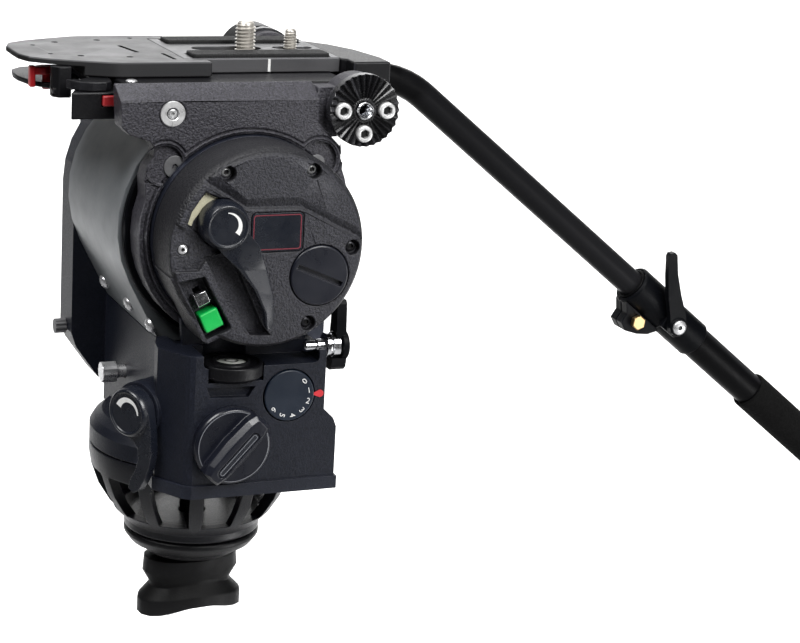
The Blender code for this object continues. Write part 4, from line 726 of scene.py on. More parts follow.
def far_cheek():
    f = F(0, TILT_Z)
    ob = prism("far_cheek", cheek_outline(False), f, FAR_Y0, FAR_Y1, "cast_charcoal")
    lug = cyl("lug", F(ROS_X, ROS_Z), 15.0, FAR_Y0, FAR_Y1, None, 48)
    web = prism("web", [(28, 65.2), (28, 47), (38, 41.5), (52, 42), (52, 65.2)], f, FAR_Y0, FAR_Y1)
    ob = fuse(ob, lug, web)
    bore = cyl("p", f, SHAFT_R + 0.35, 50.0, 70.0, None, 40)
    cb = cyl("p", F(ROS_X, ROS_Z), 4.7, 50.0, 70.0, None, 32)
    return cut(ob, bore, cb)


far_cheek()
cyl("tilt_shaft", F(0, TILT_Z), SHAFT_R, -69.9, 66.2, "steel", 48, 0.6)


def saddle_plate():
    ob = box("saddle_plate", -53.7, 50.0, -50.3, 58.7, SADDLE_Z0, SADDLE_Z1, "cast_black", 0.5)
    ch = prism("ch", [(-18.4, 175.2), (18.4, 175.2), (15.7, 180.5), (-15.7, 180.5)], lambda a, b, h: (h, a, b), -22.0, 54.0)
    return cut(ob, ch)


saddle_plate()


def half_deck():
    return [(-90.6, 0.0), (-90.4, 11.0), (-87.6, 19.4), (-80.0, 25.4), (-72.0, 29.4), (-64.0, 33.0), (-55.0, 36.9), (-50.0, DECK_HW)]


def deck_outline(x_end):
    h = half_deck()
    far = h[1:] + [(x_end, DECK_HW)]
    return [h[0]] + far + [(x, -y) for x, y in far[::-1]]


def front_deck():
    # U shape around the camera plate
    body = deck_outline(-10.0)
    ob = prism("front_deck", body, ax_z, 179.9, PLATE_Z1, "deck_grey", 0.5, 1, 60)
    c = box("c", -20.3, 0.0, -PLATE_HW - 0.3, PLATE_HW + 0.3, 179.0, 188.0)
    # the front overhang is a thin sheet
    u = box("u", -95.0, -66.0, -45, 45, 179.0, 184.2)
    return cut(ob, c, u)


front_deck()


def lower_deck():
    pts = [(-66.0, -20.0), (-71.4, -24.0), (-71.4, -30.0), (-79.4, -30.0), (-79.4, -24.4), (-77.4, -17.1), (-81.5, -13.1), (-84.9, -6.6), (-87.0, 3.1), (-87.1, 11.2), (-85.3, 20.9), (-80.0, 27.0),
           (-71.5, 29.0), (-60.0, 29.0), (-60.0, -2.0)]
    ob = prism("lower_deck", pts, ax_z, 172.0, 174.3, "cast_black", 0.3)
    br = prism("br", [(-79.4, -24.2), (-79.4, -28.0), (-77.0, -31.0), (-71.4, -31.0), (-71.4, -24.2)], ax_z, 170.2, 183.9, None, 0.4)
    ob = fuse(ob, br)
    pin = cyl("c", Zf(-77.6, -11.6), 2.2, 170.0, 176.0, None, 20)
    return cut(ob, pin)


lower_deck()


def front_block():
    ob = prism("front_block", [(-75.8, -47.0), (-54.1, -47.0), (-54.1, -4.0), (-57.5, -4.0)], ax_z, 163.6, 175.5, "cast_black", 0.5)
    b = box("b", -62.4, -55.2, -50.0, -38.7, 169.1, 174.3)
    p = cyl("p", Zf(-60.0, -16.0), 2.4, 167.6, 178.0, None, 20)
    return cut(ob, b, p)


front_block()
pivot(box("red_button", -62.1, -55.5, -48.3, -40.3, 169.4, 174.0, "red_plastic", 0.4), (-58.8, -48.3, 171.7))


def plate_lock_lever():
    pts = [(-57.4, -44.0), (-60.0, -46.2), (-66.5, -46.6), (-71.5, -44.6), (-74.5, -40.6), (-75.6, -37.0), (-70.0, -37.5), (-64.5, -33.0), (-63.2, -24.0), (-63.6, -16.0), (-60.0, -12.4),
           (-57.0, -14.6), (-56.2, -20.0), (-56.2, -38.0)]
    ob = prism("plate_lock_lever", pts, ax_z, 175.8, 179.6, "plate_grey", 0.0)
    pin = cyl("p", Zf(-60.0, -16.0), 2.1, 168.0, 176.2, None, 20)
    return pivot(fuse(ob, pin), (-60.0, -16.0, 177.0))


plate_lock_lever()


def safety_catch():
    ob = box("safety_catch", -86.1, -83.5, -16.0, -12.4, 172.4, 181.8, "red_anodised", 0.4)
    arm = prism("a", [(-84.5, -15.6), (-79.0, -15.8), (-75.0, -13.6), (-74.8, -9.6), (-79.6, -9.0), (-84.5, -12.8)], ax_z, 177.8, 181.4, None, 0.4, 1)
    pin = cyl("p", Zf(-77.6, -11.6), 1.9, 171.0, 178.4, None, 20)
    return pivot(fuse(ob, arm, pin), (-77.6, -11.6, 179.0))


safety_catch()


def camera_plate():
    ob = prism("camera_plate", [(-20.0, -PLATE_HW), (54.0, -PLATE_HW), (54.0, PLATE_HW), (-20.0, PLATE_HW)], ax_z, 179.9, PLATE_Z1, "plate_grey", 0.4)
    tongue = prism("t", [(-18.0, 175.5), (18.0, 175.5), (15.6, 180.2), (-15.6, 180.2)], lambda a, b, h: (h, a, b), -20.0, 54.0)
    ob = fuse(ob, tongue)
    cuts = []
    for s in (-1, 1):
        cuts.append(box("s", -15.3, 50.3, min(13.3 * s, 26.5 * s), max(13.3 * s, 26.5 * s), 185.8, 188.0))
    cuts.append(prism("s", rrect(-7.5, 25.5, -5.1, 5.1, 5.0, 4), ax_z, 170.0, 190.0))
    cuts.append(prism("s", rrect(31.5, 50.5, -3.6, 3.6, 3.5, 4), ax_z, 170.0, 190.0))
    cuts.append(prism("s", rrect(-10.5, 28.5, -8.2, 8.2, 8.0, 4), ax_z, 170.0, 182.2))
    cuts.append(prism("s", rrect(29.5, 52.5, -6.6, 6.6, 6.5, 4), ax_z, 170.0, 182.2))
    return cut(ob, *cuts)


camera_plate()
for nm, s in (("grip_strip_near", -1), ("grip_strip_far", 1)):
    prism(nm, rrect(-15.0, 50.0, min(13.6 * s, 26.2 * s), max(13.6 * s, 26.2 * s), 2.0, 2), ax_z, 186.1, 188.0, "rubber", 0.3)


def camera_screw(name, x, y, r, rh, top):
    prof = [(0, 176.0), (rh - 0.4, 176.0), (rh, 176.4), (rh, 181.8), (r, 181.8), (r, top - 0.8), (r - 0.8, top), (0, top)]
    ob = lathe(name, prof, Zf(x, y), "steel", 36)
    s = box("s", x - rh * 0.8, x + rh * 0.8, y - 0.7, y + 0.7, 175.0, 177.4)
    return pivot(cut(ob, s), (x, y, 184.0))


camera_screw("camera_screw_large", 18.0, 0.0, 4.7, 7.8, 199.0)
camera_screw("camera_screw_small", 40.0, 0.0, 3.15, 6.0, 195.4)


def rear_deck():
    ob = prism("rear_deck", [(57.0, -38.0), (75.0, -38.0), (75.4, -25.0), (71.5, -3.0), (64.0, 14.0), (54.4, 25.0), (54.4, -27.6), (57.0, -29.0)], ax_z, 170.0, PLATE_Z1 - 0.6, "cast_black", 0.6, 1, 50)
    return ob


rear_deck()

# ================================================================= rosettes
def rosette(name, f, h0, h1, tooth, r_in, n, mat, bores):
    """disc with radial teeth on its outer face."""
    bm = bmesh.new()
    seg = 2 * n
    rows = []

    def ring(r, hs):
        rows.append([bm.verts.new(Vector(f(r * math.cos(math.pi * k / n), r * math.sin(math.pi * k / n), hs[k % 2])) * MM) for k in range(seg)])
    ring(4.3, (h0, h0))
    ring(ROS_R, (h0, h0))
    ring(ROS_R, (h1 + tooth, h1))
    ring(r_in, (h1 + tooth * 0.5, h1))
    ring(r_in - 0.4, (h1 + tooth * 0.5, h1 + tooth * 0.5))
    ring(4.3, (h1 + tooth * 0.5, h1 + tooth * 0.5))
    for i in range(len(rows)):
        A, B = rows[i], rows[(i + 1) % len(rows)]
        for k in range(seg):
            l = (k + 1) % seg
            bm.faces.new([A[k], B[k], B[l]])
            bm.faces.new([A[k], B[l], A[l]])
    ob = finish(bm, name, mat)
    if bores:
        ob = cut(ob, *bores)
    return ob


bl = []
for a in (180, 0, 270):
    p = T(ROS_X + 10.3 * math.cos(math.radians(a)), ROS_Z + 10.3 * math.sin(math.radians(a)))
    bl.append(lathe("b", [(0, 60.0), (2.3, 60.0), (2.3, 65.6), (4.2, 65.6), (4.2, 72.0), (0, 72.0)], p, None, 24))
rosette("rosette_near", T(ROS_X, ROS_Z), 63.3, 66.8, 1.7, 5.6, 30, "cast_black", bl)
rosette("rosette_far", F(ROS_X, ROS_Z), 65.8, 69.4, 1.4, 5.6, 16, "cast_black", [])
for i, a in enumerate((180, 0, 270)):
    p = T(ROS_X + 10.3 * math.cos(math.radians(a)), ROS_Z + 10.3 * math.sin(math.radians(a)), -66.0)
    socket_screw("rosette_screw_%d" % (i + 1), p, 3.8, 3.4, 1.9, 9.0, 1.7)
socket_screw("cheek_screw", T(-35.3, TILT_Z + 53.7, -62.0), 2.2, 0.7, 2.2, 5.4, 1.3)


# ================================================================= pan bar
def bar_path():
    """centre line in the plane Y = BAR_Y with a rounded bend."""
    a0 = math.atan2(BAR_BEND[1] - ROS_Z, BAR_BEND[0] - ROS_X)
    a1 = BAR_ANG
    R = 46.0
    t = R * math.tan(abs(a1 - a0) / 2)
    p0 = (ROS_X - 2.0 * math.cos(a0), ROS_Z - 2.0 * math.sin(a0))
    s = (BAR_BEND[0] - t * math.cos(a0), BAR_BEND[1] - t * math.sin(a0))
    cx, cz = s[0] + R * math.sin(a0), s[1] - R * math.cos(a0)
    pts = [(p0, a0)]
    n = 4
    for i in range(n + 1):
        a = a0 + (a1 - a0) * i / n
        pts.append(((cx - R * math.sin(a), cz + R * math.cos(a)), a))
    L = 345.0
    pts.append(((BAR_BEND[0] + L * math.cos(a1), BAR_BEND[1] + L * math.sin(a1)), a1))
    return pts


def bar_arm():
    bm = bmesh.new()
    seg = 14
    rings = []
    for (x, z), a in bar_path():
        nx, nz = -math.sin(a), math.cos(a)
        rings.append([bm.verts.new(Vector((x + nx * BAR_R * math.cos(2 * math.pi * k / seg), BAR_Y + BAR_R * math.sin(2 * math.pi * k / seg), z + nz * BAR_R * math.cos(2 * math.pi * k / seg))) * MM)
                      for k in range(seg)])
    for a, b in zip(rings[:-1], rings[1:]):
        for k in range(seg):
            l = (k + 1) % seg
            bm.faces.new([a[k], a[l], b[l], b[k]])
    bm.faces.new(rings[0])
    bm.faces.new(rings[-1])
    ob = finish(bm, "bar_arm", "bar_black")
    # toothed head that meets the far rosette
    head = lathe("hd", [(4.4, 71.5), (15.0, 71.5), (ROS_R, 72.4), (ROS_R, 88.8), (15.0, 90.2), (4.4, 90.2)], F(ROS_X, ROS_Z), None, 56)
    ob = fuse(ob, head)
    bore = cyl("b", F(ROS_X, ROS_Z), 4.4, 60.0, 100.0, None, 32)
    return pivot(cut(ob, bore), (ROS_X, BAR_Y, ROS_Z))


bar_arm()


def bar_clamp_knob():
    f = F(ROS_X, ROS_Z)
    pts = []
    n = 8
    for k in range(n * 3):
        a = 2 * math.pi * k / (n * 3)
        r = 8.6 + 0.9 * math.cos(n * a)
        pts.append((r * math.cos(a), r * math.sin(a)))
    knob = prism("bar_clamp_knob", pts, f, 90.5, 100.0, "plastic_black", 0.8, 1, 60)
    stem = cyl("s", f, 4.1, 60.2, 91.0, None, 32)
    return pivot(fuse(knob, stem), (ROS_X, 90.0, ROS_Z))


bar_clamp_knob()

BU = (math.cos(BAR_ANG), 0, math.sin(BAR_ANG))         # along the bar
BV = (-math.sin(BAR_ANG), 0, math.cos(BAR_ANG))        # across it, upwards
BO = (BAR_BEND[0], BAR_Y, BAR_BEND[1])
BS = about(BO, BV, (0, 1, 0), BU)                      # lathe frame: h runs along the bar
BY = about((BO[0], 0, BO[2]), BU, BV, (0, -1, 0))      # prism frame: h towards -Y
S_TUBE0, S_GRIP0, S_GRIP1 = 181.0, 286.0, 408.0


def bar_pivot(ob):
    return pivot(ob, BS(0, 0, S_TUBE0))


bar_pivot(lathe("bar_tube", [(BAR_R + 0.3, S_TUBE0), (TUBE_R - 0.3, S_TUBE0), (TUBE_R, S_TUBE0 + 0.3), (TUBE_R, S_GRIP1 - 6.0), (BAR_R + 0.3, S_GRIP1 - 6.0)], BS, "bar_black", 40))


def bar_grip():
    prof = [(TUBE_R + 0.3, S_GRIP0), (10.2, S_GRIP0), (10.8, S_GRIP0 + 0.8), (10.8, S_GRIP1 - 5.0)]
    prof += [(11.2, S_GRIP1 - 4.0), (11.2, S_GRIP1), (9.2, S_GRIP1 + 3.0), (0, S_GRIP1 + 3.4), (0, S_GRIP1 - 5.7), (TUBE_R + 0.3, S_GRIP1 - 5.7)]
    return bar_pivot(lathe("bar_grip", prof, BS, "foam", 40))


bar_grip()


def bar_collar():
    ob = lathe("bar_collar", [(TUBE_R + 0.3, 181.6), (10.4, 181.6), (11.2, 182.6), (11.2, 208.0), (10.4, 209.0), (10.4, 235.0), (9.8, 236.0), (TUBE_R + 0.3, 236.0)], BS, "plastic_black", 48)
    # clamp lug under the tube, split along its middle
    lug = prism("lg", [(182.6, -9.9), (210.4, -9.9), (206.2, -15.6), (200.4, -19.5), (193.2, -22.4), (188.0, -20.4), (187.4, -14.8)], BY, -BAR_Y - 6.5, -BAR_Y + 6.5, None)
    # bearing of the clamp lever on the side
    ear = prism("er", [(206.0, -8.0), (217.5, -8.0), (217.5, 3.0), (206.0, 3.0)], BY, -BAR_Y + 9.6, -BAR_Y + 12.4, None)
    ob = fuse(ob, lug, ear)
    slit = prism("sl", [(176.0, -9.8), (214.0, -9.8), (214.0, -26.0), (176.0, -26.0)], BY, -BAR_Y - 0.5, -BAR_Y + 0.5)
    b1 = cyl("b1", about(BY(195.2, -14.4, 0), BU, BV, (0, -1, 0)), 2.8, -BAR_Y - 8, -BAR_Y + 8, None, 24)
    b2 = cyl("b2", about(BY(212.0, -2.6, 0), BU, BV, (0, -1, 0)), 2.3, -BAR_Y + 10.8, -BAR_Y + 18, None, 20)
    return bar_pivot(cut(ob, slit, b1, b2))


bar_collar()


def collar_bolt():
    f = about(BY(195.2, -14.4, 0), BU, BV, (0, -1, 0))
    head = prism("collar_bolt", [(4.2 * math.cos(math.radians(60 * k)), 4.2 * math.sin(math.radians(60 * k))) for k in range(6)], f, -BAR_Y + 6.9, -BAR_Y + 10.0, "brass", 0.3)
    sh = cyl("s", f, 2.5, -BAR_Y - 6.0, -BAR_Y + 7.4, None, 24)
    return bar_pivot(fuse(head, sh))


collar_bolt()


def collar_lever():
    f = about(BY(212.0, -2.6, 0), (1, 0, 0), (0, 0, 1), (0, -1, 0))
    hub = lathe("collar_lever", [(0, -BAR_Y + 11.2), (2.0, -BAR_Y + 11.2), (2.0, -BAR_Y + 12.8), (5.2, -BAR_Y + 12.8), (5.2, -BAR_Y + 17.6), (4.6, -BAR_Y + 18.2), (0, -BAR_Y + 18.2)], f, "plastic_black", 36)
    pts = [(-4.6, -3.4), (4.8, -3.4), (4.4, 6.0), (0.2, 18.0), (-3.0, 30.0), (-4.4, 40.6), (-6.0, 42.2), (-8.8, 41.8), (-9.6, 40.0), (-9.0, 28.0), (-7.6, 16.0), (-5.6, 6.0)]
    bl = prism("bl", pts, f, -BAR_Y + 13.2, -BAR_Y + 17.2, None)
    return pivot(fuse(hub, bl), f(0, 0, -BAR_Y + 16.0))


collar_lever()


# ================================================================= extra pieces seen on the outside
def vob(name):
    return bpy.data.objects["v_" + name]


RECESS = {}         # where each recess has its floor


def hex_recess_screw(name, fn, r, h, hexr, depth=1.4, dome=0.0, ring=0.5):
    """round head with a hexagonal recess; h grows outwards, the seat is at h = 0."""
    prof = [(0, -0.6), (r, -0.6), (r, h - ring)]
    if dome > 0:
        n = 7
        for i in range(n + 1):
            t = math.radians(90.0 * i / n)
            prof.append((r * math.cos(t) * 0.999, (h - dome) + dome * math.sin(t)))
        prof[-1] = (0, h)
        prof = [(0, -0.6), (r, -0.6)] + prof[3:]
    else:
        prof += [(r - ring * 0.3, h - ring * 0.3), (r - ring, h), (0, h)]
    ob = lathe(name, prof, fn, None, 44)
    c = prism("c", [(hexr * math.cos(math.radians(60 * k + 20)), hexr * math.sin(math.radians(60 * k + 20)))
                    for k in range(6)], fn, h - depth, h + 2)
    RECESS["v_" + name] = (fn, hexr, h - depth)
    return cut(ob, c)


def ring_arc(name, fn, r0, r1, a0, a1, h0, h1, n=40, w=None):
    """flat crescent: angles in degrees counter-clockwise, w(t) scales its width."""
    out, inn = [], []
    for i in range(n + 1):
        t = i / n
        a = math.radians(a0 + (a1 - a0) * t)
        k = 1.0 if w is None else w(t)
        rm = r1 - (r1 - r0) * k
        out.append((r1 * math.cos(a), r1 * math.sin(a)))
        inn.append((rm * math.cos(a), rm * math.sin(a)))
    return prism(name, out + inn[::-1], fn, h0, h1)


def digit(name, text, fn, x, y, rot, size, h0, h1):
    """plain numeral as a thin inlay in the frame fn."""
    cu = bpy.data.curves.new("d", 'FONT')
    cu.body = text
    cu.size = size
    cu.align_x = 'CENTER'
    cu.align_y = 'CENTER'
    cu.resolution_u = 6
    cu.extrude = 0.5
    tmp = bpy.data.objects.new("d", cu)
    bpy.context.scene.collection.objects.link(tmp)
    dg = bpy.context.evaluated_depsgraph_get()
    me = bpy.data.meshes.new_from_object(tmp.evaluated_get(dg))
    bpy.data.objects.remove(tmp, do_unlink=True)
    me.name = "v_" + name
    c, s = math.cos(rot), math.sin(rot)
    for v in me.vertices:
        a, b = v.co.x, v.co.y
        hh = h1 if v.co.z > 0 else h0
        v.co = Vector(fn(x + a * c - b * s, y + a * s + b * c, hh)) * MM
    bm = bmesh.new()
    bm.from_mesh(me)
    bmesh.ops.remove_doubles(bm, verts=bm.verts, dist=0.000005)
    bmesh.ops.recalc_face_normals(bm, faces=bm.faces)
    bm.to_mesh(me)
    bm.free()
    ob = bpy.data.objects.new("v_" + name, me)
    bpy.context.scene.collection.objects.link(ob)
    me.materials.clear()
    return ob


EXTRA = []          # (object, body, material)


def extra(ob, body, mat):
    EXTRA.append((ob, body, mat))
    return ob


# screws of the side cover
for i, (a, b, r, h) in enumerate(((-19.9, 33.8, 2.1, 91.0), (18.7, 34.0, 2.1, 91.0), (38.4, -0.6, 2.7, 90.9), (19.3, -33.8, 2.7, 90.9))):
    extra(hex_recess_screw("cover_screw_%d" % (i + 1), shifted(T(a, TILT_Z + b), (0, -(h - 1.6), 0)), r, 1.6, 1.35, 1.3, 1.2),
          "pan_body", "screw_bright" if i < 2 else "screw_dark")
extra(hex_recess_screw("cover_screw_5", shifted(T(-38.0, TILT_Z + 0.9), (0, -89.6, 0)), 2.2, 1.5, 0.9, 1.3, 0.8), "pan_body", "screw")
# screws behind the cover, in the lugs of the cheek pocket
extra(hex_recess_screw("lug_screw_1", shifted(T(-33.3, TILT_Z + 30.3), (0, -60.4, 0)), 5.0, 1.3, 1.5, 1.0, 0.0, 0.4), "tilt_saddle", "dull_steel")
extra(hex_recess_screw("lug_screw_2", shifted(T(32.0, TILT_Z + 30.4), (0, -60.4, 0)), 3.8, 1.3, 1.5, 1.0, 0.0, 0.4), "tilt_saddle", "dull_steel")
# countersunk disc of the cheek screw
extra(lathe("cheek_washer", [(2.5, -0.6), (5.6, -0.6), (5.6, 0.3), (5.3, 0.55), (3.0, 0.55), (2.7, 0.3), (2.5, -0.3)], T(-35.3, TILT_Z + 53.7, -62.4), None, 60), "tilt_saddle", "screw_bright")
extra(hex_recess_screw("cheek_pin", T(-35.3, TILT_Z + 53.7, -62.4), 1.9, 0.3, 0.9, 0.8, 0.2), "tilt_saddle", "screw_bright")
extra(lathe("cheek_gap", [(1.9, -0.6), (2.5, -0.6), (2.5, -0.45), (1.9, -0.45)], T(-35.3, TILT_Z + 53.7, -62.4), None, 40), "tilt_saddle", "ink")
# button head screws of the front sheet
t0 = math.radians(207.5)
SN = Vector((math.cos(t0), 0, math.sin(t0)))
SD = Vector((math.sin(t0), 0, -math.cos(t0)))
if SD.z > 0:
    SD = -SD
foot = (Vector((DRUM_R * math.cos(t0), 0, TILT_Z + DRUM_R * math.sin(t0))))
LEN = (62.5 - foot.z) / SD.z
for i, (y, al) in enumerate(((25.3, 20.3), (-15.6, 20.2), (-46.0, 22.4))):
    p = foot + SD * al + Vector((0, y, 0))
    fn = about(p, (0, 1, 0), tuple(SD), tuple(SN))
    extra(hex_recess_screw("sheet_screw_%d" % (i + 1), fn, 3.6, 2.3, 1.4, 1.4, 2.2), "pan_body", "screw")
# small screw on the saddle's sloping edge
extra(hex_recess_screw("edge_screw", Zf(-48.5, -44.0, SADDLE_Z1 - 0.1), 2.6, 1.0, 1.1, 0.8, 0.9), "tilt_saddle", "screw")
# threaded insert in the near rosette
extra(lathe("rosette_insert", [(2.9, 57.0), (4.0, 57.0), (4.0, 68.6), (3.7, 69.0), (3.2, 69.0), (2.9, 68.6), (3.2, 68.0), (2.9, 67.4), (3.2, 66.8), (2.9, 66.2), (3.2, 65.6), (2.9, 65.0), (3.2, 64.4), (2.9, 63.8), (3.2, 63.2), (2.9, 62.6), (3.2, 62.0), (2.9, 61.4), (3.2, 60.8), (2.9, 60.2)],
             T(ROS_X, ROS_Z), None, 44), "tilt_saddle", "chrome")
# locking bolt of the collar lever
extra(hex_recess_screw("lever_bolt", about(BY(212.0, -2.6, -BAR_Y + 18.2), BU, BV, (0, -1, 0)), 4.0, 1.6, 1.4, 1.0, 1.0), "collar_lever", "screw")

# printed marks ------------------------------------------------------------
TL = T(TLOCK[0], TILT_Z + TLOCK[1])
extra(ring_arc("tilt_lock_arc", TL, 4.0, 6.3, 92.0, -36.0, 100.8, 101.0, 48, lambda t: 0.16 + 0.84 * t), "tilt_lock_lever", "white_print")
extra(ring_arc("pan_lock_arc", shifted(PL, (0, 0, 0)), 3.9, 6.9, 178.0, 24.0, 8.2, 8.4, 48, lambda t: 0.24 + 0.76 * t), "pan_lock_lever", "white_print")
extra(ring_arc("pan_knob_ring", T(KNOB[0], KNOB[1]), 15.9, 16.2, 0.0, 359.9, 89.7, 89.9, 96), "pan_fluid_knob", "faint_print")
extra(box("plate_index", 19.4, 20.6, -PLATE_HW - 0.08, -PLATE_HW + 0.2, 180.3, 186.0), "camera_plate", "white_print")
fd = T(DIAL[0], DIAL[1])
for k in range(7):
    a = math.radians(42.0 - 30.4 * k)
    extra(digit("dial_%d" % k, str(k), fd, 9.3 * math.cos(a), 9.3 * math.sin(a), a, 3.7, 85.6, 85.8), "pan_dial", "white_print")
# red pointer beside the dial
drop = []
for i in range(28):
    t = 2 * math.pi * i / 28
    drop.append((29.3 + 1.9 * math.cos(t) - (1.6 * max(0.0, -math.cos(t)) ** 3), 46.0 + 1.7 * math.sin(t) * (1.0 - 0.35 * max(0.0, -math.cos(t)))))
extra(prism("dial_pointer", drop, T(0, 0), 84.9, 85.5, None, 0.15, 2), "pan_body", "red_print")
# frame line on the label plate
lab_o, lab_i = rrect(-7.6, 14.2, -0.2, 15.2, 1.3, 5), rrect(-7.2, 13.8, 0.2, 14.8, 1.0, 5)
lf = prism("label_frame", lab_o, COV, 92.95, 93.1)
extra(cut(lf, prism("c", lab_i, COV, 92.0, 94.0)), "pan_body", "red_line")


# bubble level -------------------------------------------------------------
BZ = Zf(-10.0, -78.0)
extra(lathe("level_ring", [(2.6, 61.55), (3.1, 61.5), (3.1, 61.75), (2.6, 61.8)], BZ, None, 60), "pan_body", "ink")
extra(lathe("level_bubble", [(0, 61.72), (1.9, 61.62), (2.2, 61.5), (1.9, 61.4), (0, 61.4)], shifted(BZ, (-0.9, -0.7, 0.12)), None, 40), "pan_body", "bubble")
extra(lathe("level_bezel", [(7.0, 60.9), (8.2, 60.9), (8.2, 61.9), (7.8, 62.2), (7.2, 62.1), (7.0, 61.7)], BZ, None, 72), "pan_body", "plastic_black")


# threads of the camera screws -----------------------------------------------
def thread(name, x, y, r, z0, z1, pitch, depth):
    bm = bmesh.new()
    per = 36
    n = int((z1 - z0) / pitch * per)
    rings = []
    for i in range(n + 1):
        t = 2 * math.pi * i / per
        z = z0 + pitch * i / per
        k = min(1.0, i / (per * 0.6), (n - i) / (per * 0.6))
        row = []
        for (dr, dz) in ((-depth - 0.25, -0.46), (-depth * (1 - k), -0.06), (-depth * (1 - k), 0.06), (-depth - 0.25, 0.46)):
            rr = r + dr
            row.append(bm.verts.new(Vector((x + rr * math.cos(t), y + rr * math.sin(t), z + dz * pitch)) * MM))
        rings.append(row)
    for p, q in zip(rings[:-1], rings[1:]):
        for k in range(4):
            l = (k + 1) % 4
            bm.faces.new([p[k], p[l], q[l], q[k]])
    bm.faces.new(rings[0])
    bm.faces.new(rings[-1])
    return finish(bm, name)


def camera_screw_fine(name, x, y, r, rh, top, pitch, depth):
    old = vob(name)
    bpy.data.objects.remove(old, do_unlink=True)
    rc = r - depth
    prof = [(0, 176.0), (rh - 0.4, 176.0), (rh, 176.4), (rh, 181.2), (rh - 0.5, 181.8), (rc, 181.8), (rc, top - 0.9), (rc - 0.9, top), (0, top)]
    ob = lathe(name, prof, Zf(x, y), None, 60)
    s = box("s", x - rh * 0.8, x + rh * 0.8, y - 0.7, y + 0.7, 175.0, 177.4)
    ob = cut(ob, s)
    th = thread(name + "_thread", x, y, r, 183.4, top - 1.4, pitch, depth)
    return ob, th


csl = camera_screw_fine("camera_screw_large", 18.0, 0.0, 4.7, 7.8, 199.0, 1.6, 0.85)
css = camera_screw_fine("camera_screw_small", 40.0, 0.0, 3.15, 6.0, 195.4, 1.27, 0.6)
extra(csl[1], "camera_screw_large", "thread_steel")
extra(css[1], "camera_screw_small", "thread_steel")

# recess beside the tilt lock hub, with the pale pad in it --------------------
cv = vob("side_cover")
cv = cut(cv, prism("c", [(-29.4, 25.9), (-23.3, 23.4), (-20.0, 22.0), (-11.5, 17.0), (-20.0, 2.0), (-31.9, 8.2), (-37.0, 12.0), (-35.2, 17.6)], COV, 90.4, 97.0))
extra(prism("recess_pad", [(-28.5, 25.2), (-23.3, 22.8), (-24.6, 21.2), (-28.4, 19.8), (-31.0, 17.0), (-33.9, 13.2), (-34.6, 11.0), (-36.6, 12.2), (-34.9, 17.5)], COV, 90.4, 90.75), "pan_body", "cream")

# small holes and slots in the deck -----------------------------------------------
fdk = vob("front_deck")
holes = [cyl("c", Zf(x, y), r, 184.9, 190.0, None, 24) for x, y, r in ((-66.0, 20.0, 1.5), (-45.0, 25.0, 1.5), (-64.0, -18.0, 1.5), (-43.0, -22.0, 1.5), (-78.0, 12.0, 1.1), (-76.0, -12.0, 1.1), (-28.0, 30.0, 1.2))]


def slot_cut(x0, y0, x1, y1, w, z0, z1):
    d = math.hypot(x1 - x0, y1 - y0)
    u, v = (x1 - x0) / d, (y1 - y0) / d
    pts = []
    for k in range(9):
        t = math.radians(90 + 22.5 * k)
        pts.append((x0 + w * (u * math.cos(t) - v * math.sin(t)), y0 + w * (v * math.cos(t) + u * math.sin(t))))
    for k in range(9):
        t = math.radians(-90 + 22.5 * k)
        pts.append((x1 + w * (u * math.cos(t) - v * math.sin(t)), y1 + w * (v * math.cos(t) + u * math.sin(t))))
    return prism("c", pts, ax_z, z0, z1)


holes.append(slot_cut(-39.0, 8.0, -36.0, -9.0, 1.0, 184.9, 190.0))
holes.append(slot_cut(-25.5, -14.0, -24.5, -29.0, 0.8, 184.9, 190.0))
fdk = cut(fdk, *holes)
for i, (x, y) in enumerate(((-66.0, 20.0), (-45.0, 25.0), (-64.0, -18.0), (-43.0, -22.0))):
    extra(cyl("deck_pin_%d" % (i + 1), Zf(x, y), 1.2, 184.6, 185.6, None, 20), "tilt_saddle", "screw_dark")

# inlaid plate on the knob's bar grip ------------------------------------------------
a = math.atan2(35.0 - 9.0, 7.0 + 17.0)
kg = about(T(KNOB[0], KNOB[1])(0, 0, 0), (math.cos(a), 0, math.sin(a)), (-math.sin(a), 0, math.cos(a)), (0, -1, 0))
gk = vob("pan_fluid_knob")
gk = cut(gk, prism("c", rrect(-13.6, 11.4, -3.1, 0.9, 1.9, 5), kg, 96.4, 99.0))
extra(prism("knob_inlay", rrect(-13.2, 11.0, -2.7, 0.5, 1.5, 5), kg, 96.3, 96.9), "pan_fluid_knob", "label_dark")
extra(cut(prism("knob_inlay_line", rrect(-12.7, 10.5, -2.2, 0.0, 1.1, 5), kg, 96.8, 96.96), prism("c", rrect(-12.45, 10.25, -1.95, -0.25, 0.85, 5), kg, 96.0, 98.0)), "pan_fluid_knob", "faint_print")

# ridge of the side cover: a slope with a small upturned foot ------------------------------
up = [(-28.0, 34.9), (-11.4, 22.8), (12.0, 22.9), (43.9, 6.6)]
low = [(-30.3, 31.0), (-11.4, 18.9), (13.9, 18.5), (46.1, 1.3)]
foot2 = [(-31.0, 29.9), (-11.75, 17.6), (13.6, 17.2), (45.5, 0.1)]
cv = vob("side_cover")
secs = [[COV(*u, 94.41), COV(*l, 92.1), COV(*q, 93.25), COV(*q, 97.0), COV(*u, 97.0)] for u, l, q in zip(up, low, foot2)]
cv = cut(cv, loft("c", secs))

# lip and groove round the pocket of the near cheek --------------------------------------------
f0 = T(0, TILT_Z)


def pocket_edge(g, h0, h1):
    ob = cyl("p", f0, 45.2 + g, h0, h1, None, 110)
    return fuse(ob, cyl("p", T(-38.3, TILT_Z + 31.8), 9.0 + g, h0, h1, None, 44), cyl("p", T(32.4, TILT_Z + 32.2), 9.0 + g, h0, h1, None, 44))


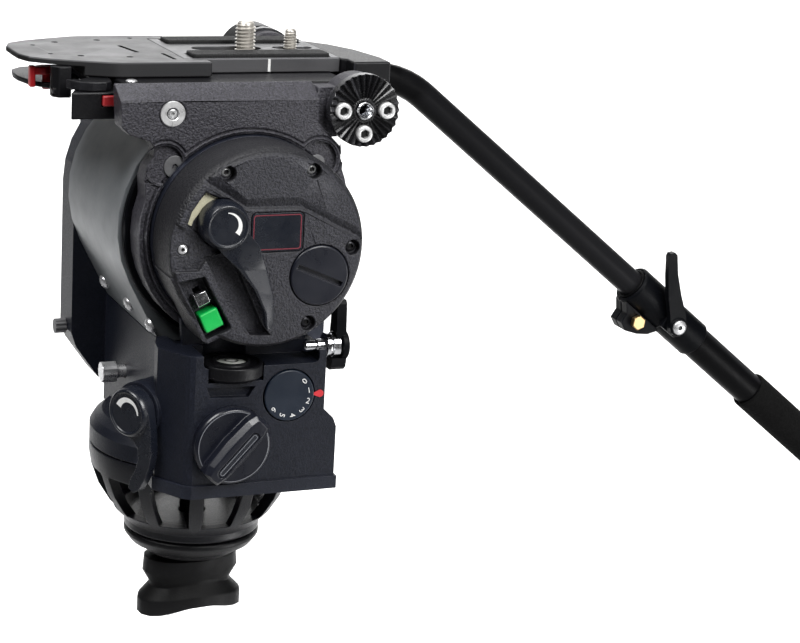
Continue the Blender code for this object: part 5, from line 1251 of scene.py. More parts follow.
ck = vob("near_cheek")
ck = cut(ck, cut(pocket_edge(1.7, 62.35, 66.0), pocket_edge(0.95, 62.0, 67.0)))
inset = [(a * 0.985, b * 0.985) for a, b in cheek_outline()]
lip = combine(cut(pocket_edge(0.95, 62.0, 63.45), pocket_edge(0.02, 61.0, 67.0)), [prism("p", inset, f0, 61.0, 64.0)], 'INTERSECT')
ck = fuse(ck, lip)

# deeper, wider sockets in the rosette screws ------------------------------------------------
for i, a in enumerate((180, 0, 270)):
    p = T(ROS_X + 10.3 * math.cos(math.radians(a)), ROS_Z + 10.3 * math.sin(math.radians(a)), -66.0)
    sc_ = vob("rosette_screw_%d" % (i + 1))
    sc_ = cut(sc_, prism("c", [(2.25 * math.cos(math.radians(60 * k + 30)), 2.25 * math.sin(math.radians(60 * k + 30))) for k in range(6)], p, 1.5, 5.0))
    RECESS["v_rosette_screw_%d" % (i + 1)] = (p, 2.25, 1.5)

# painted shade: dark floors in the sockets, standing in for the shade inside them ----------------------------------
owner = {o.name: b for o, b, m in EXTRA}
for i in range(3):
    owner["v_rosette_screw_%d" % (i + 1)] = "tilt_saddle"
for nm in list(RECESS):
    if nm not in owner or nm.startswith(("v_lug", "v_cheek")):
        continue
    fn, hr, h0 = RECESS[nm]
    ph = 30 if nm.startswith("v_rosette") else 20
    extra(prism(nm[2:] + "_floor", [(0.99 * hr * math.cos(math.radians(60 * k + ph)), 0.99 * hr * math.sin(math.radians(60 * k + ph))) for k in range(6)], fn, h0 - 0.02, h0 + 0.06), owner[nm], "ink")

# the cheeks end on the drum's outline behind the rosettes --------------------------------------
bump = [(44.1, 31.8), (43.7, 27.6), (45.2, 23.6), (46.6, 18.0), (52.0, 8.0), (62.0, 8.0), (62.0, 31.8)]
cut(vob("near_cheek"), prism("c", bump, T(0, TILT_Z), 45.0, 66.0))
cut(vob("far_cheek"), prism("c", bump, F(0, TILT_Z), 56.0, 74.0))

# dark rib under the deck, behind the plate lock lever --------------------------------------------
extra(box("deck_rib", -63.0, -52.0, 14.0, 17.0, 170.5, 184.0), "tilt_saddle", "cast_black")

# the lock lever's blade is arched: a ridge near its left edge, long slope to the right -----------
rt = [(-6.6, 3.3), (-2.2, -7.8), (1.3, -19.7), (2.1, -27.5), (1.9, -32.2), (1.9, -37.0)]
lt = [(-23.0, 0.4), (-15.1, -7.2), (-8.1, -15.9), (-3.1, -25.9), (-2.2, -31.8), (-2.2, -37.0)]


def between(p, q, t):
    return (p[0] + t * (q[0] - p[0]), p[1] + t * (q[1] - p[1]))


cl = [0.0, 1.0, 1.0, 1.0, 0.8, 0.6]
sr = [[COV(*between(l, r, 0.16), 99.2 - 0.25 * k), COV(*between(l, r, 1.2), 99.2 - 2.9 * k), COV(*between(l, r, 1.2), 104.0), COV(*between(l, r, 0.16), 104.0)] for l, r, k in zip(lt, rt, cl)]
sl = [[COV(*between(l, r, 0.16), 99.2 - 0.25 * k), COV(*between(l, r, 0.16), 104.0), COV(*between(l, r, -0.2), 104.0), COV(*between(l, r, -0.2), 99.2 - 1.5 * k)] for l, r, k in zip(lt, rt, cl)]
tl = vob("tilt_lock_lever")
tl = cut(tl, loft("c", sr), loft("c", sl))

# dark web behind the cover, between the drum and the block below it ------------------------------
extra(box("neck_web", 37.0, 45.4, -46.0, -34.0, 58.6, 71.5), "pan_body", "cast_block")

# ================================================================= finishes
def lin3(r, g, b):
    def f(c):
        c = c / 255.0
        return c / 12.92 if c <= 0.04045 else ((c + 0.055) / 1.055) ** 2.4
    return (f(r), f(g), f(b))


class Graph:
    def __init__(self, name):
        self.m = bpy.data.materials.new(name)
        self.m.use_nodes = True
        self.t = self.m.node_tree
        self.bsdf = self.t.nodes["Principled BSDF"]
        self.tc = self.t.nodes.new("ShaderNodeTexCoord")

    def link(self, a, b):
        self.t.links.new(a, b)

    def coords(self, scale=(1, 1, 1), rot=(0, 0, 0)):
        mp = self.t.nodes.new("ShaderNodeMapping")
        mp.inputs["Scale"].default_value = scale
        mp.inputs["Rotation"].default_value = rot
        self.link(self.tc.outputs["Object"], mp.inputs["Vector"])
        return mp.outputs["Vector"]

    def noise(self, scale, detail=3.0, rough=0.55, vec=None, dist=0.0):
        n = self.t.nodes.new("ShaderNodeTexNoise")
        n.inputs["Scale"].default_value = scale
        n.inputs["Detail"].default_value = detail
        n.inputs["Roughness"].default_value = rough
        n.inputs["Distortion"].default_value = dist
        self.link(vec or self.tc.outputs["Object"], n.inputs["Vector"])
        return n.outputs["Fac"]

    def voronoi(self, scale, vec=None):
        n = self.t.nodes.new("ShaderNodeTexVoronoi")
        n.inputs["Scale"].default_value = scale
        self.link(vec or self.tc.outputs["Object"], n.inputs["Vector"])
        return n.outputs["Distance"]

    def map(self, src, a0, a1, b0, b1):
        n = self.t.nodes.new("ShaderNodeMapRange")
        n.clamp = True
        for k, v in zip(("From Min", "From Max", "To Min", "To Max"), (a0, a1, b0, b1)):
            n.inputs[k].default_value = v
        self.link(src, n.inputs["Value"])
        return n.outputs["Result"]

    def mix(self, fac, a, b, mode='MIX'):
        n = self.t.nodes.new("ShaderNodeMix")
        n.data_type = 'RGBA'
        n.blend_type = mode
        for v, i in ((fac, 0), (a, 6), (b, 7)):
            if isinstance(v, (int, float)):
                n.inputs[i].default_value = v
            elif isinstance(v, tuple):
                n.inputs[i].default_value = (v[0], v[1], v[2], 1.0)
            else:
                self.link(v, n.inputs[i])
        return n.outputs[2]

    def math(self, op, a, b=None):
        n = self.t.nodes.new("ShaderNodeMath")
        n.operation = op
        for v, i in ((a, 0), (b, 1)):
            if v is None:
                continue
            if isinstance(v, (int, float)):
                n.inputs[i].default_value = v
            else:
                self.link(v, n.inputs[i])
        return n.outputs[0]

    def bump(self, height, strength, distance, prev=None):
        n = self.t.nodes.new("ShaderNodeBump")
        n.inputs["Strength"].default_value = strength
        n.inputs["Distance"].default_value = distance
        self.link(height, n.inputs["Height"])
        if prev is not None:
            self.link(prev, n.inputs["Normal"])
        return n.outputs["Normal"]

    def pointy(self, lo, hi):
        g = self.t.nodes.new("ShaderNodeNewGeometry")
        return self.map(g.outputs["Pointiness"], lo, hi, 0.0, 1.0)

    def out(self, color=None, rough=None, normal=None):
        if color is not None:
            self.link(color, self.bsdf.inputs["Base Color"])
        if rough is not None:
            self.link(rough, self.bsdf.inputs["Roughness"])
        if normal is not None:
            self.link(normal, self.bsdf.inputs["Normal"])
        return self.m


def sc(rgb, k):
    return tuple(min(1.0, c * k) for c in rgb)


def powder(name, rgb, rough=0.5, metal=0.0, grain=1500.0, speck=0.35, strength=0.5, dist=0.00018, wear_and_highlight=0.25, worn_and_highlight_colour=(0.30, 0.30, 0.31), spec=0.5, flank_shade=None):
    """textured paint on a casting: fine orange-peel grain, faint patches and rubbed edges that double as a painted edge
    highlight.
    """
    g = Graph(name)
    fine = g.noise(grain, 2.0, 0.6)
    cell = g.voronoi(grain * 0.55)
    big = g.noise(22.0, 4.0, 0.6)
    dust = g.noise(140.0, 5.0, 0.7)
    f = g.map(fine, 0.36, 0.66, 0.0, 1.0)
    col = g.mix(f, sc(rgb, 1.0 - speck), sc(rgb, 1.0 + speck))
    col = g.mix(g.map(big, 0.3, 0.7, 0.0, 0.30), col, sc(rgb, 0.72))
    col = g.mix(g.map(dust, 0.58, 0.80, 0.0, 0.22), col, sc(rgb, 1.9))
    # edges found by pointiness take the lighter worn colour: partly rubbed paint, partly a painted edge highlight
    if wear_and_highlight > 0:
        edge = g.math('MULTIPLY', g.pointy(0.535, 0.62), g.map(dust, 0.35, 0.65, 0.15, wear_and_highlight))
        col = g.mix(edge, col, worn_and_highlight_colour)
    if flank_shade is not None:     # painted shade: faces that turn away from -Y (the cover's turned flank) get a darker colour, standing in for the shade on that side
        sp = g.t.nodes.new("ShaderNodeSeparateXYZ")
        g.link(g.tc.outputs["Normal"], sp.inputs[0])
        col = g.mix(g.map(sp.outputs[1], -0.94, -0.60, 0.0, 1.0), col, sc(rgb, flank_shade))
    r = g.map(fine, 0.3, 0.7, rough - 0.09, rough + 0.09)
    h = g.math('ADD', g.map(fine, 0.3, 0.7, 0.0, 1.0), g.math('MULTIPLY', cell, 0.6))
    n = g.bump(h, strength, dist)
    g.bsdf.inputs["Metallic"].default_value = metal
    g.bsdf.inputs["Specular IOR Level"].default_value = spec
    return g.out(col, r, n)


def satin(name, rgb, rough=0.35, metal=0.6, streak=None, strength=0.08, dist=0.00005, wear_and_highlight=0.2, worn_and_highlight_colour=(0.5, 0.5, 0.5), spec=0.5, vary=0.10, hairy=0.25, shaded_sides=False):
    """anodised or satin painted metal: soft clouds, hairline marks."""
    g = Graph(name)
    big = g.noise(14.0, 4.0, 0.55)
    mid = g.noise(95.0, 4.0, 0.6)
    fine = g.noise(2600.0, 2.0, 0.5)
    vec = g.coords(streak or (40.0, 900.0, 900.0))
    hair = g.noise(1.0, 2.0, 0.5, vec)
    col = g.mix(g.map(big, 0.3, 0.7, 0.0, 1.0), sc(rgb, 1.0 - vary), sc(rgb, 1.0 + vary))
    col = g.mix(g.map(hair, 0.55, 0.75, 0.0, hairy), col, sc(rgb, 1.35))
    col = g.mix(g.map(mid, 0.55, 0.8, 0.0, 0.18), col, sc(rgb, 0.7))
    # edges found by pointiness take the lighter worn colour: partly rubbed wear, partly a painted edge highlight
    if wear_and_highlight > 0:
        edge = g.math('MULTIPLY', g.pointy(0.53, 0.62), g.map(mid, 0.3, 0.65, 0.2, wear_and_highlight))
        col = g.mix(edge, col, worn_and_highlight_colour)
    r = g.math('ADD', g.map(mid, 0.3, 0.7, rough - 0.05, rough + 0.05), g.map(hair, 0.4, 0.7, 0.0, 0.24 * hairy))
    if shaded_sides:       # painted shade: faces that turn away from the top (the sheet's cut edges) get a darker colour, the left-facing ones darkest; they are also made duller
        sp = g.t.nodes.new("ShaderNodeSeparateXYZ")
        g.link(g.tc.outputs["Normal"], sp.inputs[0])
        s = g.map(sp.outputs[2], 0.25, 0.85, 1.0, 0.0)
        col = g.mix(s, col, sc(rgb, 0.6))
        r = g.math('ADD', r, g.math('MULTIPLY', s, 0.25))
        left_side_shade = g.math('MULTIPLY', s, g.map(sp.outputs[0], -0.75, -0.15, 1.0, 0.0))
        col = g.mix(left_side_shade, col, sc(rgb, 0.06))
        r = g.math('ADD', r, g.math('MULTIPLY', left_side_shade, 0.2))
    n = g.bump(fine, strength, dist)
    n = g.bump(hair, strength * 2.4 * hairy, dist, n)
    g.bsdf.inputs["Metallic"].default_value = metal
    g.bsdf.inputs["Specular IOR Level"].default_value = spec
    return g.out(col, r, n)


def plastic(name, rgb, rough=0.38, grain=1900.0, strength=0.16, dist=0.0001, spec=0.5, wear_and_highlight=0.12, coat=0.0, worn_and_highlight_colour=(0.16, 0.16, 0.17)):
    """moulded plastic with a fine erosion grain and slight handling polish."""
    g = Graph(name)
    fine = g.noise(grain, 2.0, 0.55)
    big = g.noise(34.0, 4.0, 0.6)
    smudge = g.noise(70.0, 5.0, 0.65, None, 0.4)
    col = g.mix(g.map(big, 0.3, 0.7, 0.0, 1.0), sc(rgb, 0.82), sc(rgb, 1.18))
    col = g.mix(g.map(fine, 0.5, 0.75, 0.0, 0.35), col, sc(rgb, 1.7))
    # edges found by pointiness take the lighter worn colour: partly handling wear, partly a painted edge highlight
    if wear_and_highlight > 0:
        edge = g.math('MULTIPLY', g.pointy(0.53, 0.64), g.map(smudge, 0.3, 0.65, 0.1, wear_and_highlight))
        col = g.mix(edge, col, worn_and_highlight_colour)
    r = g.math('ADD', g.map(smudge, 0.3, 0.72, rough - 0.08, rough + 0.10), g.map(fine, 0.3, 0.7, -0.02, 0.02))
    n = g.bump(fine, strength, dist)
    g.bsdf.inputs["Specular IOR Level"].default_value = spec
    g.bsdf.inputs["Coat Weight"].default_value = coat
    g.bsdf.inputs["Coat Roughness"].default_value = 0.25
    return g.out(col, r, n)


def turned(name, rgb, rough=0.2, metal=1.0, hollow_darkening=0.35, strength=0.12):
    """plated or turned metal: fine marks, darker in the hollows."""
    g = Graph(name)
    mid = g.noise(260.0, 4.0, 0.6)
    fine = g.noise(3200.0, 2.0, 0.6)
    vec = g.coords((1500.0, 120.0, 1500.0))
    line = g.noise(1.0, 2.0, 0.5, vec)
    hollow = g.t.nodes.new("ShaderNodeNewGeometry")
    hol = g.map(hollow.outputs["Pointiness"], 0.40, 0.50, 1.0, 0.0)
    col = g.mix(g.map(mid, 0.3, 0.7, 0.0, 1.0), sc(rgb, 0.84), sc(rgb, 1.06))
    # colour darkened in the hollows, where the pointiness is low
    col = g.mix(g.math('MULTIPLY', hol, hollow_darkening), col, sc(rgb, 0.22))
    r = g.math('ADD', g.map(mid, 0.3, 0.7, rough - 0.05, rough + 0.09), g.map(line, 0.4, 0.7, 0.0, 0.06))
    n = g.bump(line, strength, 0.00003)
    n = g.bump(fine, strength * 0.5, 0.00002, n)
    g.bsdf.inputs["Metallic"].default_value = metal
    return g.out(col, r, n)


def rubbery(name, rgb, rough=0.75, grain=900.0, strength=0.5, dist=0.0002, ribs=None, spec=0.35):
    g = Graph(name)
    fine = g.noise(grain, 3.0, 0.65)
    big = g.noise(45.0, 4.0, 0.6)
    dust = g.noise(300.0, 4.0, 0.7)
    col = g.mix(g.map(big, 0.3, 0.7, 0.0, 1.0), sc(rgb, 0.8), sc(rgb, 1.25))
    col = g.mix(g.map(dust, 0.6, 0.8, 0.0, 0.3), col, sc(rgb, 2.4))
    r = g.map(fine, 0.3, 0.7, rough - 0.1, min(0.98, rough + 0.12))
    n = g.bump(fine, strength, dist)
    if ribs:
        w = g.t.nodes.new("ShaderNodeTexWave")
        w.bands_direction = 'X'
        w.inputs["Scale"].default_value = ribs
        w.inputs["Distortion"].default_value = 0.0
        g.link(g.tc.outputs["Object"], w.inputs["Vector"])
        n = g.bump(w.outputs["Fac"], 0.5, 0.0003, n)
    g.bsdf.inputs["Specular IOR Level"].default_value = spec
    return g.out(col, r, n)


def printed(name, rgb, rough=0.5, spec=0.4):
    """screen-printed ink: slightly uneven film with pinholes."""
    g = Graph(name)
    fine = g.noise(2400.0, 3.0, 0.6)
    mid = g.noise(420.0, 3.0, 0.6)
    col = g.mix(g.map(mid, 0.3, 0.7, 0.0, 1.0), sc(rgb, 0.86), sc(rgb, 1.0))
    col = g.mix(g.map(fine, 0.66, 0.80, 0.0, 0.5), col, sc(rgb, 0.45))
    r = g.map(fine, 0.3, 0.7, rough - 0.06, rough + 0.08)
    n = g.bump(fine, 0.12, 0.00004)
    g.bsdf.inputs["Specular IOR Level"].default_value = spec
    return g.out(col, r, n)


MT = {
    "cast_charcoal": powder("cast_charcoal", lin3(51, 50, 56), 0.50, 0.0, 1050.0, 0.62, 0.75, 0.00032, 0.60, lin3(112, 112, 116), 0.40),
    # the side cover's paint: a darker, shaded copy of cast_charcoal, with painted shade on its flank
    "cast_cover": powder("cast_cover", lin3(42, 42, 48), 0.50, 0.0, 1050.0, 0.62, 0.75, 0.00032, 0.60, lin3(112, 112, 116), 0.38, 0.38),
    "cast_block": powder("cast_block", lin3(20, 23, 33), 0.45, 0.0, 1500.0, 0.35, 0.35, 0.00016, 0.35, lin3(80, 84, 98), 0.30),
    "cast_black": powder("cast_black", lin3(10, 10, 13), 0.42, 0.0, 1900.0, 0.30, 0.25, 0.00012, 0.35, lin3(80, 80, 86), 0.28),
    "rosette_black": powder("rosette_black", lin3(11, 11, 13), 0.27, 0.0, 2200.0, 0.25, 0.12, 0.00008, 0.45, lin3(95, 95, 100), 0.60),
    "cast_ball": powder("cast_ball", lin3(15, 16, 22), 0.38, 0.0, 1600.0, 0.30, 0.25, 0.00014, 0.35, lin3(80, 82, 92), 0.38),
    "drum_grey": satin("drum_grey", lin3(106, 110, 113), 0.42, 0.25, (900.0, 30.0, 900.0), 0.12, 0.00008, 0.25, lin3(150, 150, 152), 0.5, 0.08, 0.0),
    "deck_grey": satin("deck_grey", lin3(52, 52, 54), 0.40, 0.20, (30.0, 900.0, 900.0), 0.10, 0.00006, 0.30, lin3(120, 120, 122), 0.40, 0.08, 0.10, True),
    "plate_grey": satin("plate_grey", lin3(92, 92, 94), 0.38, 0.70, (30.0, 900.0, 900.0), 0.10, 0.00006, 0.35, lin3(170, 170, 172), 0.5, 0.08, 0.10),
    "plastic_black": plastic("plastic_black", lin3(7, 8, 11), 0.40, 1900.0, 0.16, 0.0001, 0.08),
    "lever_black": plastic("lever_black", lin3(18, 21, 29), 0.28, 1600.0, 0.12, 0.00008, 0.55),
    "knob_black": plastic("knob_black", lin3(17, 19, 28), 0.32, 1300.0, 0.22, 0.00010, 0.50),
    "handle_black": plastic("handle_black", lin3(8, 8, 9), 0.50, 1200.0, 0.40, 0.00018, 0.18),
    "rubber": rubbery("rubber", lin3(22, 22, 23), 0.72, 1100.0, 0.5, 0.0002, 260.0),
    "foam": rubbery("foam", lin3(6, 6, 6), 0.90, 700.0, 0.9, 0.0004, None, 0.15),
    "steel": turned("steel", (0.55, 0.55, 0.56), 0.30, 0.8),
    "dull_steel": turned("dull_steel", (0.17, 0.17, 0.175), 0.45, 0.6, 0.4),
    "thread_steel": turned("thread_steel", (0.62, 0.59, 0.54), 0.30, 0.65, 0.7),
    "screw": turned("screw", (0.66, 0.66, 0.67), 0.26, 0.75),
    "screw_bright": turned("screw_bright", (0.80, 0.80, 0.80), 0.28, 0.60, 0.6),
    "screw_dark": turned("screw_dark", (0.05, 0.05, 0.055), 0.30, 0.8, 0.4),
    "cream": plastic("cream", lin3(205, 200, 172), 0.45, 1500.0, 0.15, 0.00008, 0.5, 0.1),
    "chrome": turned("chrome", (0.85, 0.86, 0.88), 0.10, 1.0, 0.3, 0.05),
    "brass": turned("brass", (0.60, 0.44, 0.22), 0.30),
    "red_anodised": satin("red_anodised", lin3(176, 28, 34), 0.34, 0.45, None, 0.10, 0.00006, 0.4, lin3(225, 120, 120)),
    "red_plastic": plastic("red_plastic", lin3(150, 26, 32), 0.42, 1700.0, 0.2, 0.0001, 0.5, 0.3, 0.0, lin3(210, 110, 110)),
    "green_plastic": plastic("green_plastic", lin3(8, 168, 72), 0.34, 1900.0, 0.12, 0.00008, 0.5, 0.25, 0.15, lin3(90, 210, 140)),
    "dial_navy": plastic("dial_navy", lin3(13, 24, 38), 0.40, 1500.0, 0.25, 0.0001, 0.45, 0.15),
    "label_dark": plastic("label_dark", lin3(17, 21, 30), 0.26, 1500.0, 0.10, 0.00006, 0.5, 0.1, 0.3),
    "bar_black": satin("bar_black", lin3(8, 8, 9), 0.34, 0.0, (900.0, 900.0, 900.0), 0.12, 0.00006, 0.2, lin3(80, 80, 84), 0.06),
    "white_print": printed("white_print", lin3(232, 232, 230)),
    "faint_print": printed("faint_print", lin3(120, 122, 128)),
    "red_line": printed("red_line", lin3(120, 40, 52)),
    "red_print": printed("red_print", lin3(206, 52, 60), 0.4),
    "ink": printed("ink", lin3(14, 14, 14), 0.3),
}


# painted light: the liquid's colour is raised near white so the vial reads bright in the shade under the side cover
def vial_liquid():
    g = Graph("vial_liquid")
    mid = g.noise(300.0, 2.0, 0.5)
    big = g.noise(120.0, 2.0, 0.5)
    col = g.mix(g.map(big, 0.3, 0.7, 0.0, 1.0), lin3(218, 224, 214), lin3(240, 242, 236))
    r = g.map(mid, 0.3, 0.7, 0.04, 0.10)
    g.bsdf.inputs["Coat Weight"].default_value = 1.0
    g.bsdf.inputs["Coat Roughness"].default_value = 0.03
    g.bsdf.inputs["Specular IOR Level"].default_value = 0.7
    return g.out(col, r, g.bump(mid, 0.05, 0.00004))


# painted reflection: the bubble's near-white colour stands in for the light it reflects, raised to read bright under
# the side cover
def bubble_look():
    g = Graph("bubble_look")
    mid = g.noise(400.0, 2.0, 0.5)
    col = g.mix(g.map(mid, 0.3, 0.7, 0.0, 1.0), lin3(232, 234, 228), lin3(250, 250, 248))
    g.bsdf.inputs["Specular IOR Level"].default_value = 0.9
    return g.out(col, g.map(mid, 0.3, 0.7, 0.05, 0.12), None)


MT["vial"] = vial_liquid()
MT["bubble"] = bubble_look()

# ================================================================= assembly
def beveled(ob, width, seg, angle):
    """the bevelled mesh and the area of faces that folded over."""
    m = ob.modifiers.new("bv", 'BEVEL')
    m.width = width * MM
    m.segments = seg
    m.limit_method = 'ANGLE'
    m.angle_limit = math.radians(angle)
    m.use_clamp_overlap = False
    m.profile = 0.6
    dg = bpy.context.evaluated_depsgraph_get()
    me = bpy.data.meshes.new_from_object(ob.evaluated_get(dg))
    ob.modifiers.remove(m)
    me.calc_loop_triangles()
    normals = [q.normal.copy() for q in me.polygons]
    bad = 0.0
    for lt in me.loop_triangles:
        i, j, k = (me.vertices[v].co for v in lt.vertices)
        n = (j - i).cross(k - i)
        area2 = n.length / 2
        if area2 > 1e-12 and n.normalized().dot(normals[lt.polygon_index]) < 0.5:
            bad += area2
    return me, bad * 1e6


CREASED = ("side_cover", "near_cheek", "far_cheek", "pan_base", "front_block", "rear_deck", "pan_fluid_knob", "plate_lock_lever")


def soften(ob, width, seg=2, angle=35.0, sharp=38.0):
    """rounds the edges as widely as the shape allows, then shades it smooth."""
    if ob.name[2:] in CREASED:
        bm = bmesh.new()
        bm.from_mesh(ob.data)
        for e in bm.edges:
            if len(e.link_faces) == 2 and min(f.calc_area() for f in e.link_faces) > 6e-6:
                if 8.0 < math.degrees(e.calc_face_angle(0.0)) < angle:
                    e.smooth = False
        bm.to_mesh(ob.data)
        bm.free()
    if width > 0:
        bm = bmesh.new()
        bm.from_mesh(ob.data)
        bmesh.ops.triangulate(bm, faces=[f for f in bm.faces if len(f.verts) > 4])
        bm.to_mesh(ob.data)
        bm.free()
        total = sum(q.area for q in ob.data.polygons) * 1e6
        lo = [min(v.co[i] for v in ob.data.vertices) for i in range(3)]
        hi = [max(v.co[i] for v in ob.data.vertices) for i in range(3)]
        for k in (1.0, 0.7, 0.5, 0.35, 0.25):
            me, bad = beveled(ob, width * k, seg, angle)
            if bad <= max(0.4, total * 0.0006):
                old = ob.data
                ob.data = me
                bpy.data.meshes.remove(old)
                break
            bpy.data.meshes.remove(me)
        # the bevel never stands out of the shape it softens
        for v in ob.data.vertices:
            for i in range(3):
                v.co[i] = min(max(v.co[i], lo[i]), hi[i])
    me = ob.data
    for q in me.polygons:
        q.use_smooth = True
    creases = [e.index for e in me.edges if e.use_edge_sharp]
    me.set_sharp_from_angle(angle=math.radians(sharp))
    for i in creases:
        me.edges[i].use_edge_sharp = True
    m = ob.modifiers.new("wn", 'WEIGHTED_NORMAL')
    m.keep_sharp = True
    dg = bpy.context.evaluated_depsgraph_get()
    new = bpy.data.meshes.new_from_object(ob.evaluated_get(dg))
    ob.modifiers.remove(m)
    ob.data = new
    bpy.data.meshes.remove(me)
    return ob


def dress(ob, body, mat):
    ob.data.materials.clear()
    ob.data.materials.append(MT[mat])
    for p in ob.data.polygons:
        p.material_index = 0
    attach(ob, body)


BODY_OF = {n: b for b, ns in frame["record"]["behaviour"]["bodies"].items() for n in ns}
FLAT = ("front_deck", "camera_plate", "label_plate", "lower_deck", "saddle_plate", "rear_deck")
INSIDE = ("pan_spindle", "bearing_near", "bearing_far", "tilt_drag_pack", "pan_drag_pack", "counterbalance_spring", "button_cell")
LOOK = {     # node: (finish, bevel width in millimetres, bevel segments)
    "half_ball": ("cast_ball", 0.5, 2), "clamp_stud": ("screw_dark", 0.3, 2), "clamp_disc": ("cast_black", 0.4, 2),
    "clamp_handle": ("handle_black", 0.0, 2), "pan_base": ("cast_block", 0.7, 2), "drum_housing": ("drum_grey", 0.4, 2),
    "drum_flange": ("plastic_black", 0.3, 2), "side_cover": ("cast_cover", 0.6, 3), "label_plate": ("label_dark", 0.15, 2),
    "battery_cap": ("knob_black", 0.35, 2), "tilt_lock_lever": ("lever_black", 0.7, 3), "green_button": ("green_plastic", 0.35, 2),
    "light_slider": ("chrome", 0.3, 2), "bubble_cup": ("cast_black", 0.3, 2), "bubble_vial": ("vial", 0.0, 2),
    "pan_fluid_knob": ("knob_black", 0.5, 3), "pan_dial": ("dial_navy", 0.2, 2), "pan_lock_lever": ("lever_black", 0.8, 3),
    "lock_rod": ("chrome", 0.25, 2), "rear_lever": ("plastic_black", 0.5, 2), "front_stud": ("screw", 0.2, 2),
    "arm_screw": ("dull_steel", 0.2, 2), "near_cheek": ("cast_charcoal", 0.6, 3), "far_cheek": ("cast_charcoal", 0.5, 2),
    "tilt_shaft": ("dull_steel", 0.3, 2), "saddle_plate": ("cast_black", 0.4, 2), "front_deck": ("deck_grey", 0.2, 2),
    "lower_deck": ("cast_black", 0.3, 2), "front_block": ("cast_black", 0.4, 2), "red_button": ("red_plastic", 0.3, 2),
    "plate_lock_lever": ("cast_black", 0.4, 2), "safety_catch": ("red_anodised", 0.3, 2), "camera_plate": ("plate_grey", 0.35, 2),
    "grip_strip_near": ("rubber", 0.3, 2), "grip_strip_far": ("rubber", 0.3, 2), "camera_screw_large": ("thread_steel", 0.2, 2),
    "camera_screw_small": ("thread_steel", 0.2, 2), "rear_deck": ("cast_black", 0.6, 3), "rosette_near": ("rosette_black", 0.12, 1),
    "rosette_far": ("rosette_black", 0.12, 1), "rosette_screw_1": ("screw_bright", 0.3, 2), "rosette_screw_2": ("screw_bright", 0.3, 2),
    "rosette_screw_3": ("screw_bright", 0.3, 2), "cheek_screw": ("screw", 0.2, 2), "bar_arm": ("bar_black", 0.4, 2),
    "bar_clamp_knob": ("knob_black", 0.4, 2), "bar_tube": ("bar_black", 0.3, 2), "bar_grip": ("foam", 0.6, 3),
    "bar_collar": ("plastic_black", 0.4, 2), "collar_bolt": ("brass", 0.25, 2), "collar_lever": ("plastic_black", 0.6, 2),
}
for node, body in BODY_OF.items():
    ob = bpy.data.objects.get("v_" + node)
    if node in INSIDE:
        if ob is not None:
            bpy.data.objects.remove(ob, do_unlink=True)
        cad = frame["nodes"][node]
        mat = {"tilt_drag_pack": "drum_grey", "pan_drag_pack": "drum_grey", "pan_spindle": "cast_black"}.get(node, "steel")
        cad.data.materials.clear()
        cad.data.materials.append(MT[mat])
        continue
    look, width, seg = LOOK[node]
    soften(ob, width, seg, 35.0, 13.0 if node in FLAT else 38.0)
    dress(ob, body, look)
    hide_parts(node)
for ob, body, mat in EXTRA:
    soften(ob, 0.0)
    dress(ob, body, mat)

# ================================================================= studio
A, E, R = math.radians(-23.57), math.radians(15.29), math.radians(3.34)
back = Vector((math.sin(A) * math.cos(E), -math.cos(A) * math.cos(E), math.sin(E)))
right = Vector((0, 0, 1)).cross(back).normalized()
up = back.cross(right)
r2 = right * math.cos(R) + up * math.sin(R)
u2 = up * math.cos(R) - right * math.sin(R)
cam_data = bpy.data.cameras.new("camera")
cam_data.sensor_fit = 'HORIZONTAL'
cam_data.sensor_width = 36.0
cam_data.lens = 104.4
cam_data.clip_start = 0.05
cam_data.clip_end = 50.0
cam = bpy.data.objects.new("camera", cam_data)
bpy.context.scene.collection.objects.link(cam)
mw = Matrix((r2, u2, back)).transposed().to_4x4()
mw.translation = Vector((-0.3331, -1.0005, 0.3501))
cam.matrix_world = mw
bpy.context.scene.camera = cam


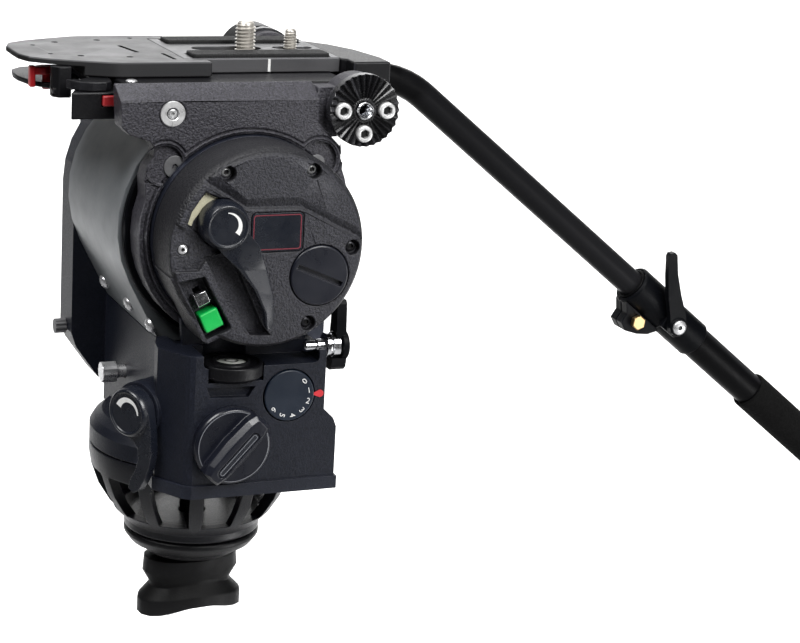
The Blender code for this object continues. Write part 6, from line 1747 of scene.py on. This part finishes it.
def stage_mesh():
    """pale floor that curves up into the backdrop behind the object."""
    bm = bmesh.new()
    prof = [(-1.6, -0.6), (1.9, -0.6)]
    for i in range(1, 17):
        t = math.radians(90.0 * i / 16)
        prof.append((1.9 + 1.4 * math.sin(t), -0.6 + 1.4 * (1 - math.cos(t))))
    prof.append((3.3, 3.0))
    ca, sa = math.cos(math.radians(-23.57)), math.sin(math.radians(-23.57))
    rows = []
    for w in (-2.6, 2.6):
        row = []
        for d, z in prof:
            # d runs away from the camera, w across
            x = -sa * d + ca * w
            y = ca * d + sa * w
            row.append(bm.verts.new((x, y, z)))
        rows.append(row)
    for i in range(len(prof) - 1):
        bm.faces.new([rows[0][i], rows[1][i], rows[1][i + 1], rows[0][i + 1]])
    me = bpy.data.meshes.new("stage_floor")
    bm.to_mesh(me)
    bm.free()
    for p in me.polygons:
        p.use_smooth = True
    ob = bpy.data.objects.new("stage_floor", me)
    bpy.context.scene.collection.objects.link(ob)
    g = Graph("stage_paper")
    n = g.noise(3.0, 3.0, 0.5)
    g.bsdf.inputs["Specular IOR Level"].default_value = 0.1
    col = g.mix(g.map(n, 0.3, 0.7, 0.0, 1.0), (0.93, 0.93, 0.93), (0.95, 0.95, 0.95))
    # painted shade: the paper's colour turns grey under and near the object, standing in for a studio light that falls
    # behind it
    sp = g.t.nodes.new("ShaderNodeSeparateXYZ")
    g.link(g.tc.outputs["Object"], sp.inputs[0])
    far = g.math('ADD', g.math('MULTIPLY', sp.outputs[0], 0.40), g.math('MULTIPLY', sp.outputs[1], 0.9165))
    col = g.mix(g.map(far, 0.35, 0.95, 0.0, 1.0), (0.42, 0.42, 0.425), col)
    g.out(col, g.map(n, 0.3, 0.7, 0.88, 0.95), None)
    me.materials.append(g.m)


stage_mesh()


def area(name, loc, target, size, power, color=(1, 1, 1), size_y=None):
    d = bpy.data.lights.new(name, 'AREA')
    d.energy = power
    d.color = color
    d.shape = 'RECTANGLE'
    d.size = size
    d.size_y = size_y or size
    ob = bpy.data.objects.new(name, d)
    bpy.context.scene.collection.objects.link(ob)
    ob.location = loc
    v = Vector(target) - Vector(loc)
    ob.rotation_euler = v.to_track_quat('-Z', 'Y').to_euler()
    return ob


TGT = (0.03, 0.0, 0.08)
area("key_top_front", (0.38, -1.14, 1.02), TGT, 0.8, 25.0)
area("top_box", (-0.05, 0.25, 1.35), TGT, 1.2, 8.0)
area("left_top", (-0.72, -0.28, 1.22), (-0.06, 0.0, 0.12), 0.6, 18.5)
area("fill_right", (1.0, -1.35, 0.10), TGT, 0.7, 2.6)
area("low_right", (0.95, -0.70, -0.38), TGT, 0.45, 4.6)
area("backdrop_wash", (0.55, 1.5, 1.5), (1.15, 2.9, -0.1), 2.4, 98.0)

w = bpy.data.worlds.new("studio")
w.use_nodes = True
w.node_tree.nodes["Background"].inputs["Color"].default_value = (1.0, 1.0, 1.0, 1.0)
w.node_tree.nodes["Background"].inputs["Strength"].default_value = 0.04
bpy.context.scene.world = w
bpy.context.scene.view_settings.view_transform = 'Standard'
bpy.context.scene.view_settings.look = 'None'
bpy.context.scene.view_settings.exposure = 0.0
